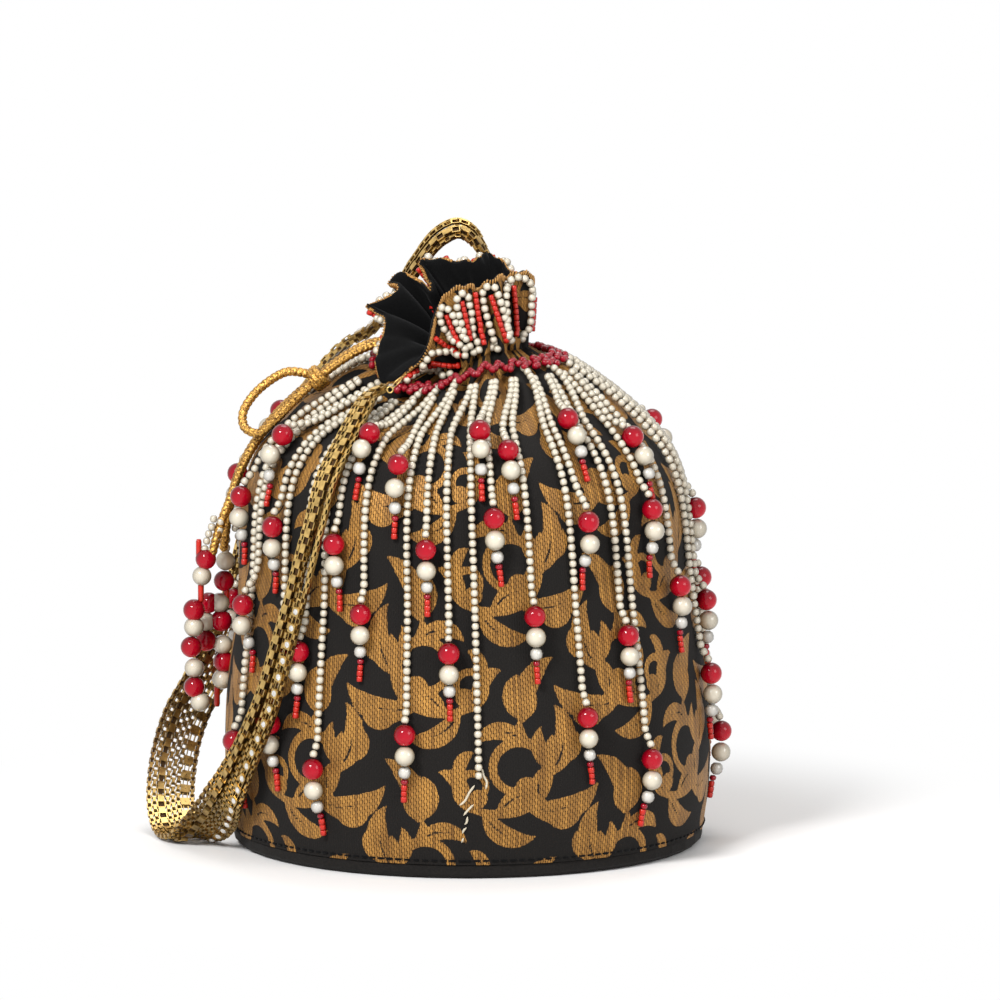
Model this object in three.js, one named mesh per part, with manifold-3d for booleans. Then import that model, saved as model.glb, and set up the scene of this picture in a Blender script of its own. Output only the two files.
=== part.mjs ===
// A potli bag: a round drawstring pouch of brocade with a lining, gathered on a cord into a
// standing ruffle, hung with a fringe of beaded strings and carried by a band of chain.
// Millimetres, +Z up, the middle of the base on the origin, the front of the bag facing -Y.
// Angles run round the bag from the front, -Y, towards the right, +X.
import * as THREE from "three";
import { mergeVertices } from "three/addons/utils/BufferGeometryUtils.js";
import Module from "manifold-3d";

const wasm = await Module();
wasm.setup();

const { degToRad, lerp, smoothstep } = THREE.MathUtils;

// Driving dimensions: the pouch.
const BASE_RADIUS = 87;
const SEAM_HEIGHT = 5;
const BELLY_RADIUS = 90.4;
const BELLY_HEIGHT = 32;
const WAIST_RADIUS = 84.2;
const WAIST_HEIGHT = 96;
const NECK_RADIUS = 18;
const NECK_HEIGHT = 181.5;
const COLLAR_RADIUS = 33;
const YOKE_RADIUS = 42;
const YOKE_DROP = 7.2;
const YOKE_HEIGHT = NECK_HEIGHT - YOKE_DROP;
const SHOULDER_RADIUS = 76;
const SHOULDER_DROP = 36.5;
const SHOULDER_HEIGHT = NECK_HEIGHT - SHOULDER_DROP;
const CASING_HEIGHT = 3.4;
const NECK_OFFSET = 3;
const SHOULDER_OFFSET = -2.3;

// The cloth, its gathers and the ruffle above the casing.
const BROCADE_WALL = 0.9;
const LINING_WALL = 0.6;
const CLEARANCE = 0.3;
const PLEATS = 16;
const PLEAT_DEPTH = 2.6;
const FRONT_DIP = 9;
const RUFFLE_HEIGHT = 32;
const RUFFLE_REACH = 40;

// The drawcord, and its knot round both tails.
const CORD_DIAMETER = 3;
const KNOT_LENGTH = 7;
const KNOT_WALL = 2.6;

// The beads, as half their width.
const STRING_HALF = 1.25;
const COLLAR_HALF = 1.4;
const BALL_DIAMETER = 8;
const PEARL_DIAMETER = 7.4;
const SEED_DIAMETER = 4.8;
const CORAL_LENGTH = 7;
const LOOP_HALF = 1.3;
const BAR_HALF = 0.9;

// The chain band.
const STRAP_HALF_WIDTH = 9;
const STRAP_HALF_THICKNESS = 1.1;

const COLUMNS_PER_PLEAT = 3;
const COLUMNS = PLEATS * COLUMNS_PER_PLEAT;
const COLUMN_ANGLE = (2 * Math.PI) / COLUMNS;

const cloth = (color, roughness) => new THREE.MeshStandardMaterial({ color, roughness, metalness: 0 });
const BROCADE = cloth(0x956030, 0.7);
const LINING = cloth(0x141415, 0.9);
const BASE_CLOTH = cloth(0x1f1c1a, 0.9);
const PEARL = new THREE.MeshStandardMaterial({ color: 0xe4e1d5, roughness: 0.25, metalness: 0 });
const CORAL = new THREE.MeshStandardMaterial({ color: 0xe5352b, roughness: 0.35, metalness: 0 });
const GOLD_CORD = new THREE.MeshStandardMaterial({ color: 0x956c3e, roughness: 0.45, metalness: 0.6 });
const CHAIN_GOLD = new THREE.MeshStandardMaterial({ color: 0xb89a50, roughness: 0.35, metalness: 1 });

const bag = new THREE.Group();

function addMesh(name, geometry, material) {
  const mesh = new THREE.Mesh(geometry, material);
  mesh.name = name;
  bag.add(mesh);
  return mesh;
}

// A closed skin through rings of equally many points. Open ends are filled with a fan, and a
// skin whose last ring meets its first is closed like a tyre. From the ring where a wall turns
// back inside itself its squares are split the other way, so both faces are split alike.
function loft(rings, { joined = false, turnsBackAt = Infinity } = {}) {
  const size = rings[0].length;
  const points = rings.flat().flatMap((p) => p.toArray());
  const faces = [];
  const bands = joined ? rings.length : rings.length - 1;
  for (let i = 0; i < bands; i++) {
    const lower = i * size;
    const upper = ((i + 1) % rings.length) * size;
    for (let j = 0; j < size; j++) {
      const k = (j + 1) % size;
      faces.push(...(i < turnsBackAt
        ? [lower + j, lower + k, upper + k, lower + j, upper + k, upper + j]
        : [lower + j, lower + k, upper + j, lower + k, upper + k, upper + j]));
    }
  }
  if (!joined && size === 3) {
    const last = points.length / 3 - size;
    faces.push(0, 2, 1, last, last + 1, last + 2);
  } else if (!joined) {
    [0, rings.length - 1].forEach((end) => {
      const middle = new THREE.Vector3();
      rings[end].forEach((p) => middle.addScaledVector(p, 1 / size));
      const tip = points.length / 3;
      points.push(...middle.toArray());
      for (let j = 0; j < size; j++) {
        const a = end * size + j;
        const b = end * size + ((j + 1) % size);
        faces.push(...(end === 0 ? [b, a, tip] : [a, b, tip]));
      }
    });
  }
  const geometry = new THREE.BufferGeometry();
  geometry.setAttribute("position", new THREE.Float32BufferAttribute(points, 3));
  geometry.setIndex(faces);
  geometry.computeVertexNormals();
  return geometry;
}

// A closed mesh as a solid for cutting and joining.
function solid(geometry) {
  const bare = new THREE.BufferGeometry();
  bare.setAttribute("position", geometry.getAttribute("position"));
  bare.setIndex(geometry.index);
  const merged = mergeVertices(bare, 1e-4);
  return new wasm.Manifold(
    new wasm.Mesh({
      numProp: 3,
      vertProperties: merged.attributes.position.array,
      triVerts: new Uint32Array(merged.index.array),
    }),
  );
}

function geometryOf(manifold) {
  const mesh = manifold.getMesh();
  const geometry = new THREE.BufferGeometry();
  geometry.setAttribute("position", new THREE.BufferAttribute(mesh.vertProperties, 3));
  geometry.setIndex(new THREE.BufferAttribute(mesh.triVerts, 1));
  geometry.computeVertexNormals();
  return geometry;
}

// The pouch in section, from the seam on the base to the top of the casing: each point holds
// the radius, how far the middle leans along X, and the height.
const PROFILE = new THREE.CatmullRomCurve3(
  [
    [BASE_RADIUS + 0.4, 0, SEAM_HEIGHT],
    [BELLY_RADIUS, 0, BELLY_HEIGHT],
    [WAIST_RADIUS, SHOULDER_OFFSET / 2, WAIST_HEIGHT],
    [SHOULDER_RADIUS, SHOULDER_OFFSET, SHOULDER_HEIGHT],
    [YOKE_RADIUS, SHOULDER_OFFSET / 3, YOKE_HEIGHT],
    [(YOKE_RADIUS + NECK_RADIUS) / 2, NECK_OFFSET / 4, lerp(YOKE_HEIGHT, NECK_HEIGHT, 0.6)],
    [NECK_RADIUS, NECK_OFFSET, NECK_HEIGHT],
    [NECK_RADIUS, NECK_OFFSET, NECK_HEIGHT + CASING_HEIGHT],
  ].map((p) => new THREE.Vector3(...p)),
);
const SPAN_ROWS = [1, 1, 2, 3, 1, 1, 1];
const SPANS = SPAN_ROWS.length;
const BODY_ROWS = [0];
SPAN_ROWS.forEach((rows, span) => {
  for (let i = 1; i <= rows; i++) BODY_ROWS.push((span + i / rows) / SPANS);
});
const NECK_ROW = BODY_ROWS.length - 2;
const CASING_ROW = BODY_ROWS.length - 1;

// One gather: 0.5 on its rounded ridge, and -1 in the crease beside it.
const pleat = (angle) => 0.5 - 1.5 * ((1 + Math.cos(PLEATS * angle)) / 2) ** 1.6;

// How far the gathers have closed: 0 on the smooth wall, and 1 at the neck.
const gathered = (radius) => 1 - smoothstep(radius, NECK_RADIUS, SHOULDER_RADIUS);

// The mouth sags at the front left, where the ruffle opens into a spout.
const DIP_MIDDLE = degToRad(-38);
const DIP_REACH = degToRad(60);
const DIP_OUTER = 40;
function dip(angle, radius) {
  const away = Math.abs(Math.atan2(Math.sin(angle - DIP_MIDDLE), Math.cos(angle - DIP_MIDDLE)));
  if (away > DIP_REACH) return 0;
  const across = Math.cos((away / DIP_REACH) * (Math.PI / 2)) ** 2;
  return FRONT_DIP * across * (1 - smoothstep(radius, DIP_OUTER, SHOULDER_RADIUS));
}

function bodyPoint(t, angle) {
  const at = PROFILE.getPoint(t);
  const along = PROFILE.getTangent(t);
  const out = new THREE.Vector2(along.z, -along.x).normalize();
  const slack = gathered(at.x);
  const uneven = 1 + slack * (1 - slack) * Math.sin(5 * angle + 1);
  const fold = PLEAT_DEPTH * slack * uneven * pleat(angle);
  const radius = at.x + fold * out.x;
  return new THREE.Vector3(
    at.y + radius * Math.sin(angle),
    -radius * Math.cos(angle),
    at.z + fold * out.y - dip(angle, at.x),
  );
}

// The rim of the ruffle, read round from the front: column, then place over the neck in shares
// of the ruffle's reach, and rise over the casing in shares of its height.
const RIM = [
  [0.5, -0.04, -0.43, 0.76],
  [1.5, 0, -0.25, 0.67],
  [3, 0.08, -0.4, 0.78],
  [5, 0.22, -0.35, 0.86],
  [7.5, 0.27, -0.15, 0.8],
  [8.3, 0.33, -0.2, 0.86],
  [10, 0.49, -0.1, 0.85],
  [12, 0.52, 0.1, 0.69],
  [14.5, 0.33, 0.2, 0.8],
  [16, 0.25, 0.27, 0.92],
  [18, 0.11, 0.32, 1],
  [21, -0.04, 0.17, 0.95],
  [26, -0.52, 0.36, 0.91],
  [29, -0.42, 0.14, 0.62],
  [30.5, -0.66, 0.25, 0.8],
  [31.7, -0.81, 0.16, 0.7],
  [33, -0.72, 0, 0.64],
  [34.5, -1.02, -0.1, 0.45],
  [36, -0.85, -0.2, 0.36],
  [37, -0.86, -0.3, 0.18],
  [38, -0.9, -0.4, 0.01],
  [39, -0.93, -0.5, -0.17],
  [40, -0.84, -0.56, -0.37],
  [42, -0.59, -0.6, -0.19],
  [43.4, -0.43, -0.55, 0.09],
  [45, -0.36, -0.45, 0.48],
  [46.5, -0.24, -0.5, 0.72],
];
const RIM_CURVE = new THREE.CatmullRomCurve3(
  RIM.map(([, x, y, rise]) =>
    new THREE.Vector3(
      NECK_OFFSET + x * RUFFLE_REACH,
      y * RUFFLE_REACH,
      NECK_HEIGHT + CASING_HEIGHT + rise * RUFFLE_HEIGHT,
    )),
  true,
);

function rimPoint(column) {
  const first = RIM[0][0];
  const turned = first + ((((column - first) % COLUMNS) + COLUMNS) % COLUMNS);
  const i = RIM.findLastIndex((row) => row[0] <= turned);
  const next = i + 1 < RIM.length ? RIM[i + 1][0] : first + COLUMNS;
  const share = (turned - RIM[i][0]) / (next - RIM[i][0]);
  return RIM_CURVE.getPoint((i + share) / RIM.length);
}

// The ruffle rises off the casing and then leans out to its rim.
const RUFFLE_ROWS = [0.34, 0.68, 1];
function rufflePoint(t, column) {
  const foot = bodyPoint(1, column * COLUMN_ANGLE);
  const rim = rimPoint(column);
  const rise = Math.max(0.5 * (rim.z - foot.z), 0.2 * RUFFLE_HEIGHT);
  const bend = foot.clone().lerp(rim, 0.3).setZ(foot.z + rise);
  return new THREE.QuadraticBezierCurve3(foot, bend, rim).getPoint(t);
}

const columns = [...Array(COLUMNS).keys()];
const SKIN = [
  ...BODY_ROWS.map((t) => columns.map((j) => bodyPoint(t, j * COLUMN_ANGLE))),
  ...RUFFLE_ROWS.map((t) => columns.map((j) => rufflePoint(t, j))),
];
const TOP_ROW = SKIN.length - 1;

// The outward direction at each point of the skin, longer in a crease so that a wall keeps its
// thickness on both sides of it.
const MOST_STRETCH = 1.7;
const OUTWARD = SKIN.map((ring, i) =>
  ring.map((p, j) => {
    const left = ring[(j + COLUMNS - 1) % COLUMNS];
    const right = ring[(j + 1) % COLUMNS];
    const below = SKIN[Math.max(i - 1, 0)][j];
    const above = SKIN[Math.min(i + 1, TOP_ROW)][j];
    const up = above.clone().sub(below);
    const normals = [p.clone().sub(left), right.clone().sub(p)].map((across) =>
      across.cross(up).normalize());
    const mean = normals[0].clone().add(normals[1]).normalize();
    return mean.multiplyScalar(Math.min(MOST_STRETCH, 1 / Math.max(mean.dot(normals[0]), 0.1)));
  }));

const inset = (i, depth) => SKIN[i].map((p, j) => p.clone().addScaledVector(OUTWARD[i][j], -depth));

// A place on the skin by row and column, both of which may be fractions, and lifted off it.
function onSkin(row, column, lift) {
  const i = Math.min(Math.floor(row), TOP_ROW - 1);
  const wrapped = ((column % COLUMNS) + COLUMNS) % COLUMNS;
  const j = Math.floor(wrapped) % COLUMNS;
  const k = (j + 1) % COLUMNS;
  const mix = (grid) => {
    const lower = grid[i][j].clone().lerp(grid[i][k], wrapped - Math.floor(wrapped));
    const upper = grid[i + 1][j].clone().lerp(grid[i + 1][k], wrapped - Math.floor(wrapped));
    return lower.lerp(upper, row - i);
  };
  const normal = mix(OUTWARD).normalize();
  return { point: mix(SKIN).addScaledVector(normal, lift), normal };
}

// The base: a stiff disc wrapped in black cloth, whose edge shows below the brocade.
function makeBase() {
  const rounding = 1.5;
  const profile = [
    [0, 0],
    [BASE_RADIUS - rounding, 0],
    [BASE_RADIUS, rounding],
    [BASE_RADIUS, SEAM_HEIGHT - CLEARANCE],
    [0, SEAM_HEIGHT - CLEARANCE],
  ].map((p) => new THREE.Vector2(...p));
  const disc = new THREE.LatheGeometry(profile, COLUMNS);
  disc.rotateX(Math.PI / 2);
  addMesh("base_panel", disc, BASE_CLOTH);
}

// The drawcord's turn round the neck, between brocade and lining, with both ends led out
// through a slit at the left.
const CORD_RADIUS = CORD_DIAMETER / 2;
const RING_RADIUS =
  NECK_RADIUS - PLEAT_DEPTH - BROCADE_WALL * MOST_STRETCH - CLEARANCE - CORD_RADIUS;
const LINING_NECK = RING_RADIUS - CORD_RADIUS - 3 * CLEARANCE;
const EXIT_ANGLE = degToRad(-90);
const EXIT_SPACING = 1.9;
const EXIT_REACH = NECK_RADIUS + 6;
const RING_STEPS = 30;
function ringRoute() {
  const height = NECK_HEIGHT + CASING_HEIGHT / 2;
  const steps = 14;
  const turn = [];
  for (let i = 0; i <= steps; i++) {
    const angle = EXIT_ANGLE + lerp(degToRad(40), degToRad(320), i / steps);
    turn.push(new THREE.Vector3(
      NECK_OFFSET + RING_RADIUS * Math.sin(angle),
      -RING_RADIUS * Math.cos(angle),
      height - dip(angle, NECK_RADIUS),
    ));
  }
  const leave = (side) => [
    [RING_RADIUS + 0.6, 4.1],
    [RING_RADIUS + 4, 2.1],
    [EXIT_REACH - 3, EXIT_SPACING],
    [EXIT_REACH, EXIT_SPACING],
  ].map(([out, aside]) => {
    const angle = EXIT_ANGLE - Math.atan2(side * aside, out);
    return new THREE.Vector3(NECK_OFFSET - out, side * aside, height - dip(angle, NECK_RADIUS));
  });
  return new THREE.CatmullRomCurve3([...leave(-1).reverse(), ...turn, ...leave(1)]);
}

function tube(route, radius, steps) {
  const sides = 8;
  const section = new THREE.Shape();
  for (let i = 0; i < sides; i++) {
    const angle = ((i + 0.5) * 2 * Math.PI) / sides;
    section[i ? "lineTo" : "moveTo"](radius * Math.cos(angle), radius * Math.sin(angle));
  }
  section.closePath();
  return new THREE.ExtrudeGeometry(section, { extrudePath: route, steps, bevelEnabled: false });
}

// The brocade: the wall of the pouch, its gathers, the casing and the ruffle, in one cloth.
function makeBrocade() {
  const rows = SKIN.map((_, i) => i);
  const inner = rows.map((i) => inset(i, BROCADE_WALL)).reverse();
  const wall = solid(loft([...SKIN, ...inner], { joined: true, turnsBackAt: SKIN.length - 1 }));
  const slit = solid(tube(ringRoute(), CORD_RADIUS + CLEARANCE, RING_STEPS));
  addMesh("brocade_shell", geometryOf(wall.subtract(slit)), BROCADE);
}

// The lining: a cup of thin black cloth inside the brocade, drawn in further at the neck to
// leave the casing, and level with the brocade at the rim.
const CASING_DROP = 0.85 * PLEAT_DEPTH;
function liningRing(i, depth) {
  const outer = BROCADE_WALL + (i > CASING_ROW ? 2.4 : 1) * CLEARANCE;
  const at = PROFILE.getPoint(BODY_ROWS[Math.min(i, CASING_ROW)]);
  if (i === 0) {
    return inset(0, outer + depth).map((p) => p.setZ(SEAM_HEIGHT + depth));
  }
  if (i < NECK_ROW - 1 || i > CASING_ROW) return inset(i, outer + depth);
  if (i === NECK_ROW - 1) {
    return inset(i, outer + depth).map((p) => p.setZ(p.z - CASING_DROP));
  }
  const drop = i === NECK_ROW ? CASING_DROP : 0;
  return columns.map((j) => {
    const angle = j * COLUMN_ANGLE;
    const radius = LINING_NECK - depth + 0.5 * (pleat(angle) - 0.5);
    return new THREE.Vector3(
      NECK_OFFSET + radius * Math.sin(angle),
      -radius * Math.cos(angle),
      at.z - drop - dip(angle, NECK_RADIUS),
    );
  });
}

function makeLining() {
  const rows = SKIN.map((_, i) => i);
  const outer = rows.map((i) => liningRing(i, 0));
  const inner = rows.map((i) => liningRing(i, LINING_WALL)).reverse();
  addMesh("lining", loft([...outer, ...inner], { turnsBackAt: SKIN.length - 1 }), LINING);
}

// Along a string from the collar: the row of the skin after each millimetre of string.
const COLLAR_ROW = (() => {
  const i = BODY_ROWS.findIndex((t) => PROFILE.getPoint(t).x < COLLAR_RADIUS);
  const above = PROFILE.getPoint(BODY_ROWS[i]).x;
  const below = PROFILE.getPoint(BODY_ROWS[i - 1]).x;
  return i - 1 + (below - COLLAR_RADIUS) / (below - above);
})();
const ROW_POINTS = BODY_ROWS.map((t) => PROFILE.getPoint(t)).map((p) => new THREE.Vector2(p.x, p.z));
const rowPoint = (row) => {
  const i = Math.min(Math.floor(row), ROW_POINTS.length - 2);
  return ROW_POINTS[i].clone().lerp(ROW_POINTS[i + 1], row - i);
};
const collarPoint = rowPoint(COLLAR_ROW);
// The string length from the collar down to each whole row under it.
const ROW_LENGTHS = [];
for (let i = Math.floor(COLLAR_ROW), from = collarPoint, length = 0; i >= 0; i--) {
  length += from.distanceTo(ROW_POINTS[i]);
  ROW_LENGTHS[i] = length;
  from = ROW_POINTS[i];
}
function rowAfter(length) {
  let i = Math.floor(COLLAR_ROW);
  while (i > 0 && ROW_LENGTHS[i] < length) i--;
  const upper = ROW_LENGTHS[i + 1] ?? 0;
  const rowAbove = ROW_LENGTHS[i + 1] === undefined ? COLLAR_ROW : i + 1;
  return lerp(rowAbove, i, (length - upper) / (ROW_LENGTHS[i] - upper));
}

// The front of the fringe, read off the bag: one list for each length of collar, and in it the
// angle of each string and its length down to the red ball. The string marked broken has lost
// its drop.
const BROKEN = "broken";
const FRONT_FRINGE = [
  [[-73.5, 70], [-66, 159], [-63, 108], [-60, 46]],
  [[-54, 77], [-50.6, 149], [-42.5, 121], [-36.8, 163], [-33, 80]],
  [[-28.6, 39], [-25.4, 105]],
  [[-16.7, 52], [-14, 148], [-8.9, 80]],
  [[-3.8, 118], [2.6, 164, BROKEN], [5.3, 38], [8, 69]],
  [[13.4, 45], [16.9, 105]],
  [[28.4, 143], [31.6, 72]],
  [[37, 33], [41.7, 115], [45.8, 161]],
  [[55, 71], [59, 45], [64.5, 101]],
  [[78, 137], [88, 112], [91.4, 78], [94.8, 163], [98.5, 106]],
];
// Behind, the strings keep the same four lengths in turn.
const BACK_FROM = 104.5;
const BACK_TO = 261;
const BACK_GROUPS = 6;
const BACK_LENGTHS = [152, 44, 112, 74];
const BACK_UNEVEN = 7;
const BACK_FRINGE = [...Array(BACK_GROUPS).keys()].map((g) =>
  BACK_LENGTHS.map((length, i) => {
    const k = g * BACK_LENGTHS.length + i;
    const last = BACK_GROUPS * BACK_LENGTHS.length - 1;
    return [lerp(BACK_FROM, BACK_TO, k / last), length + BACK_UNEVEN * Math.sin(2.4 * k)];
  }));

// The strings leave the collar evenly spaced, and reach their own angle further down.
const FAN_LENGTH = 36;
const SEAT_GAP = 0.4;
const toColumn = (degrees) => degToRad(degrees) / COLUMN_ANGLE;
function stringAt(length, topAngle, angle, half, raised = 0) {
  const row = rowAfter(length);
  const turned = lerp(topAngle, angle, smoothstep(length, 0, FAN_LENGTH));
  const folds = gathered(rowPoint(row).x);
  return { ...onSkin(row, toColumn(turned), half + SEAT_GAP + 0.8 * folds + raised), half };
}

// A three-sided section round each station of a route, flat to the cloth.
const BEAD_SECTION = [[0, 1.2], [1.05, -0.75], [-1.05, -0.75]];
function sweep(stations) {
  const rings = stations.map((station, i) => {
    const before = stations[Math.max(i - 1, 0)].point;
    const after = stations[Math.min(i + 1, stations.length - 1)].point;
    const along = after.clone().sub(before).normalize();
    const across = along.clone().cross(station.normal).normalize();
    const out = across.clone().cross(along);
    return BEAD_SECTION.map(([a, b]) =>
      station.point.clone()
        .addScaledVector(across, a * station.half)
        .addScaledVector(out, b * station.half));
  });
  return loft(rings);
}

// One string: small pearls down to a red ball, a pearl, a seed pearl and a coral tail.
function stringStations([angle, ballLength, broken], topAngle, raised) {
  const ball = BALL_DIAMETER / 2;
  const end = broken ? ballLength : ballLength - ball;
  const at = (length, half, lift) => stringAt(length, topAngle, angle, half, lift);
  const stations = [at(0, STRING_HALF)];
  for (let i = Math.floor(COLLAR_ROW); i >= 0; i--) {
    if (ROW_LENGTHS[i] > 3 && ROW_LENGTHS[i] < end - 2) stations.push(at(ROW_LENGTHS[i], STRING_HALF));
  }
  stations.push(at(end, STRING_HALF, raised));
  if (broken) return stations;
  const pearl = PEARL_DIAMETER / 2;
  const seed = SEED_DIAMETER / 2;
  let length = end;
  [[ball, 0.88], [pearl, 0.88], [seed, 0.9]].forEach(([radius, share]) => {
    stations.push(at(length + radius, radius * share, raised));
    length += 2 * radius;
    if (radius === ball) stations.push(at(length, STRING_HALF, raised));
  });
  stations.push(at(length + CORAL_LENGTH, 0.7, raised + 0.5));
  return stations;
}

// A drop lies over the longer strings close beside it, and otherwise on the cloth.
const ALL_STRINGS = [...FRONT_FRINGE, ...BACK_FRINGE].flat();
const CROWDED = 3.3;
function raiseOf([angle, length]) {
  const beside = ([other, reach]) => {
    const away = Math.abs(other - angle);
    return away > 0 && Math.min(away, 360 - away) < CROWDED && reach > length;
  };
  return ALL_STRINGS.some(beside) ? 2 * STRING_HALF + CLEARANCE : 0;
}

// A length of collar with the strings that hang from it.
function fringeGroup(group, topAngles) {
  const margin = 1.25;
  const first = topAngles[0] - margin;
  const last = topAngles.at(-1) + margin;
  const pieces = topAngles.length + 1;
  const collar = [...Array(pieces + 1).keys()].map((i) => {
    const zigzag = i % 2 ? 0.05 : -0.05;
    const column = toColumn(lerp(first, last, i / pieces));
    const lift = COLLAR_HALF + SEAT_GAP + 0.9 * gathered(COLLAR_RADIUS);
    return { ...onSkin(COLLAR_ROW + zigzag, column, lift), half: COLLAR_HALF };
  });
  const strings = group.map((string, i) =>
    solid(sweep(stringStations(string, topAngles[i], raiseOf(string)))));
  return strings.reduce((whole, string) => whole.add(string), solid(sweep(collar)));
}

function makeFringe() {
  const front = FRONT_FRINGE.flat();
  const topOf = (k) => lerp(front[0][0], front.at(-1)[0], k / (front.length - 1));
  let placed = 0;
  const groups = [
    ...FRONT_FRINGE.map((group) => {
      const tops = group.map(() => topOf(placed++));
      return [group, tops];
    }),
    ...BACK_FRINGE.map((group) => [group, group.map(([angle]) => angle)]),
  ];
  groups.forEach(([group, tops], i) => {
    const name = "fringe_" + String(i + 1).padStart(2, "0");
    addMesh(name, geometryOf(fringeGroup(group, tops)), PEARL);
  });
}

// The beaded loops on the outer face of the ruffle, each with a bar of coral tubes inside it.
const LOOP_COLUMNS = [47.5, 4.4, 9.9, 13.7, 18.4, 22.6, 25.9, 30.9, 34.6, 38.1, 41.4, 44.6];
const LOOP_FOOT = 0.36;
const LOOP_TOP = 0.84;
const LOOP_SPREAD = 0.95;
const ruffleRow = (t) => CASING_ROW + t * RUFFLE_ROWS.length;
function makeRuffleTrim() {
  LOOP_COLUMNS.forEach((column, i) => {
    const name = String(i + 1).padStart(2, "0");
    const bend = [[-1, LOOP_FOOT], [-1, 0.68], [0, LOOP_TOP], [1, 0.68], [1, LOOP_FOOT]];
    const loop = bend.map(([aside, t]) => ({
      ...onSkin(ruffleRow(t), column + aside * LOOP_SPREAD, LOOP_HALF + 3.2 * SEAT_GAP),
      half: LOOP_HALF,
    }));
    addMesh("ruffle_loop_" + name, sweep(loop), PEARL);
    const bar = [LOOP_FOOT, 0.64].map((t) => ({
      ...onSkin(ruffleRow(t), column, BAR_HALF + 2 * SEAT_GAP),
      half: BAR_HALF,
    }));
    addMesh("ruffle_bar_" + name, sweep(bar), CORAL);
  });
}

// The drawcord's tails, the bow loop and the routes' points, chosen along the bag's left side.
const TAIL_FRONT = [
  [-21.7, -1.9, 183.2], [-27.5, -3, 185.4], [-36, -4, 184.8], [-45.5, -5, 180.4],
  [-55.5, -5.2, 172.9], [-63.5, -5, 166.2], [-72, -5, 157.6], [-79.6, -5, 147.2],
  [-84.8, -5, 137], [-88.2, -5.5, 127.2], [-91.5, -6.5, 118.6],
];
const TAIL_REAR = [
  [-21.7, 1.9, 183.2], [-27.5, 1.8, 185.8], [-36, 1, 185.2], [-45.5, -0.6, 180.6],
  [-55.5, -1.7, 172.9], [-63.5, -1.2, 166.2], [-72, -0.4, 157.6], [-79.6, 0.6, 147.2],
  [-84.8, 1.4, 137], [-87.6, 2, 127.2], [-89.2, 3, 118.6],
];
const BOW_LOOP = [
  [-61.6, -3.2, 174.8], [-67, -2.6, 174.9], [-73.5, -2, 171.4], [-79.8, -2.2, 165.6],
  [-83.2, -4, 159.6], [-82.4, -7.5, 154.8], [-77.4, -10.6, 153.2], [-71.2, -11.6, 158.2],
  [-65.6, -10.9, 164], [-61.2, -10, 168.4],
];
const TAIL_STEPS = 15;
const BOW_STEPS = 13;
const routeOf = (points) => new THREE.CatmullRomCurve3(points.map((p) => new THREE.Vector3(...p)));

function makeCord() {
  addMesh("drawcord_ring", tube(ringRoute(), CORD_RADIUS, RING_STEPS), GOLD_CORD);
  addMesh("cord_tail_front", tube(routeOf(TAIL_FRONT), CORD_RADIUS, TAIL_STEPS), GOLD_CORD);
  addMesh("cord_tail_rear", tube(routeOf(TAIL_REAR), CORD_RADIUS, TAIL_STEPS), GOLD_CORD);
  addMesh("cord_bow_loop", tube(routeOf(BOW_LOOP), CORD_RADIUS, BOW_STEPS), GOLD_CORD);
}

// The knot: a collar of wound cord round both tails.
const KNOT_MIDDLE = new THREE.Vector3(-55.5, -3.45, 172.9);
function stadium(halfLength, radius, path) {
  path.absarc(halfLength, 0, radius, -Math.PI / 2, Math.PI / 2);
  path.absarc(-halfLength, 0, radius, Math.PI / 2, (3 * Math.PI) / 2);
  path.closePath();
  return path;
}
function makeKnot() {
  const halfGap = (TAIL_REAR[4][1] - TAIL_FRONT[4][1]) / 2;
  const hole = CORD_RADIUS + 2 * CLEARANCE;
  const section = stadium(halfGap, hole + KNOT_WALL, new THREE.Shape());
  section.holes.push(stadium(halfGap, hole, new THREE.Path()));
  const knot = new THREE.ExtrudeGeometry(section, {
    depth: KNOT_LENGTH, bevelEnabled: false, curveSegments: 5,
  });
  knot.translate(0, 0, -KNOT_LENGTH / 2);
  const along = routeOf(TAIL_FRONT).getTangent(4 / (TAIL_FRONT.length - 1)).setY(0).normalize();
  const aside = new THREE.Vector3(0, 1, 0);
  const frame = new THREE.Matrix4().makeBasis(aside, along.clone().cross(aside), along);
  knot.applyMatrix4(frame.setPosition(KNOT_MIDDLE));
  addMesh("cord_knot", knot, GOLD_CORD);
}

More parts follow.
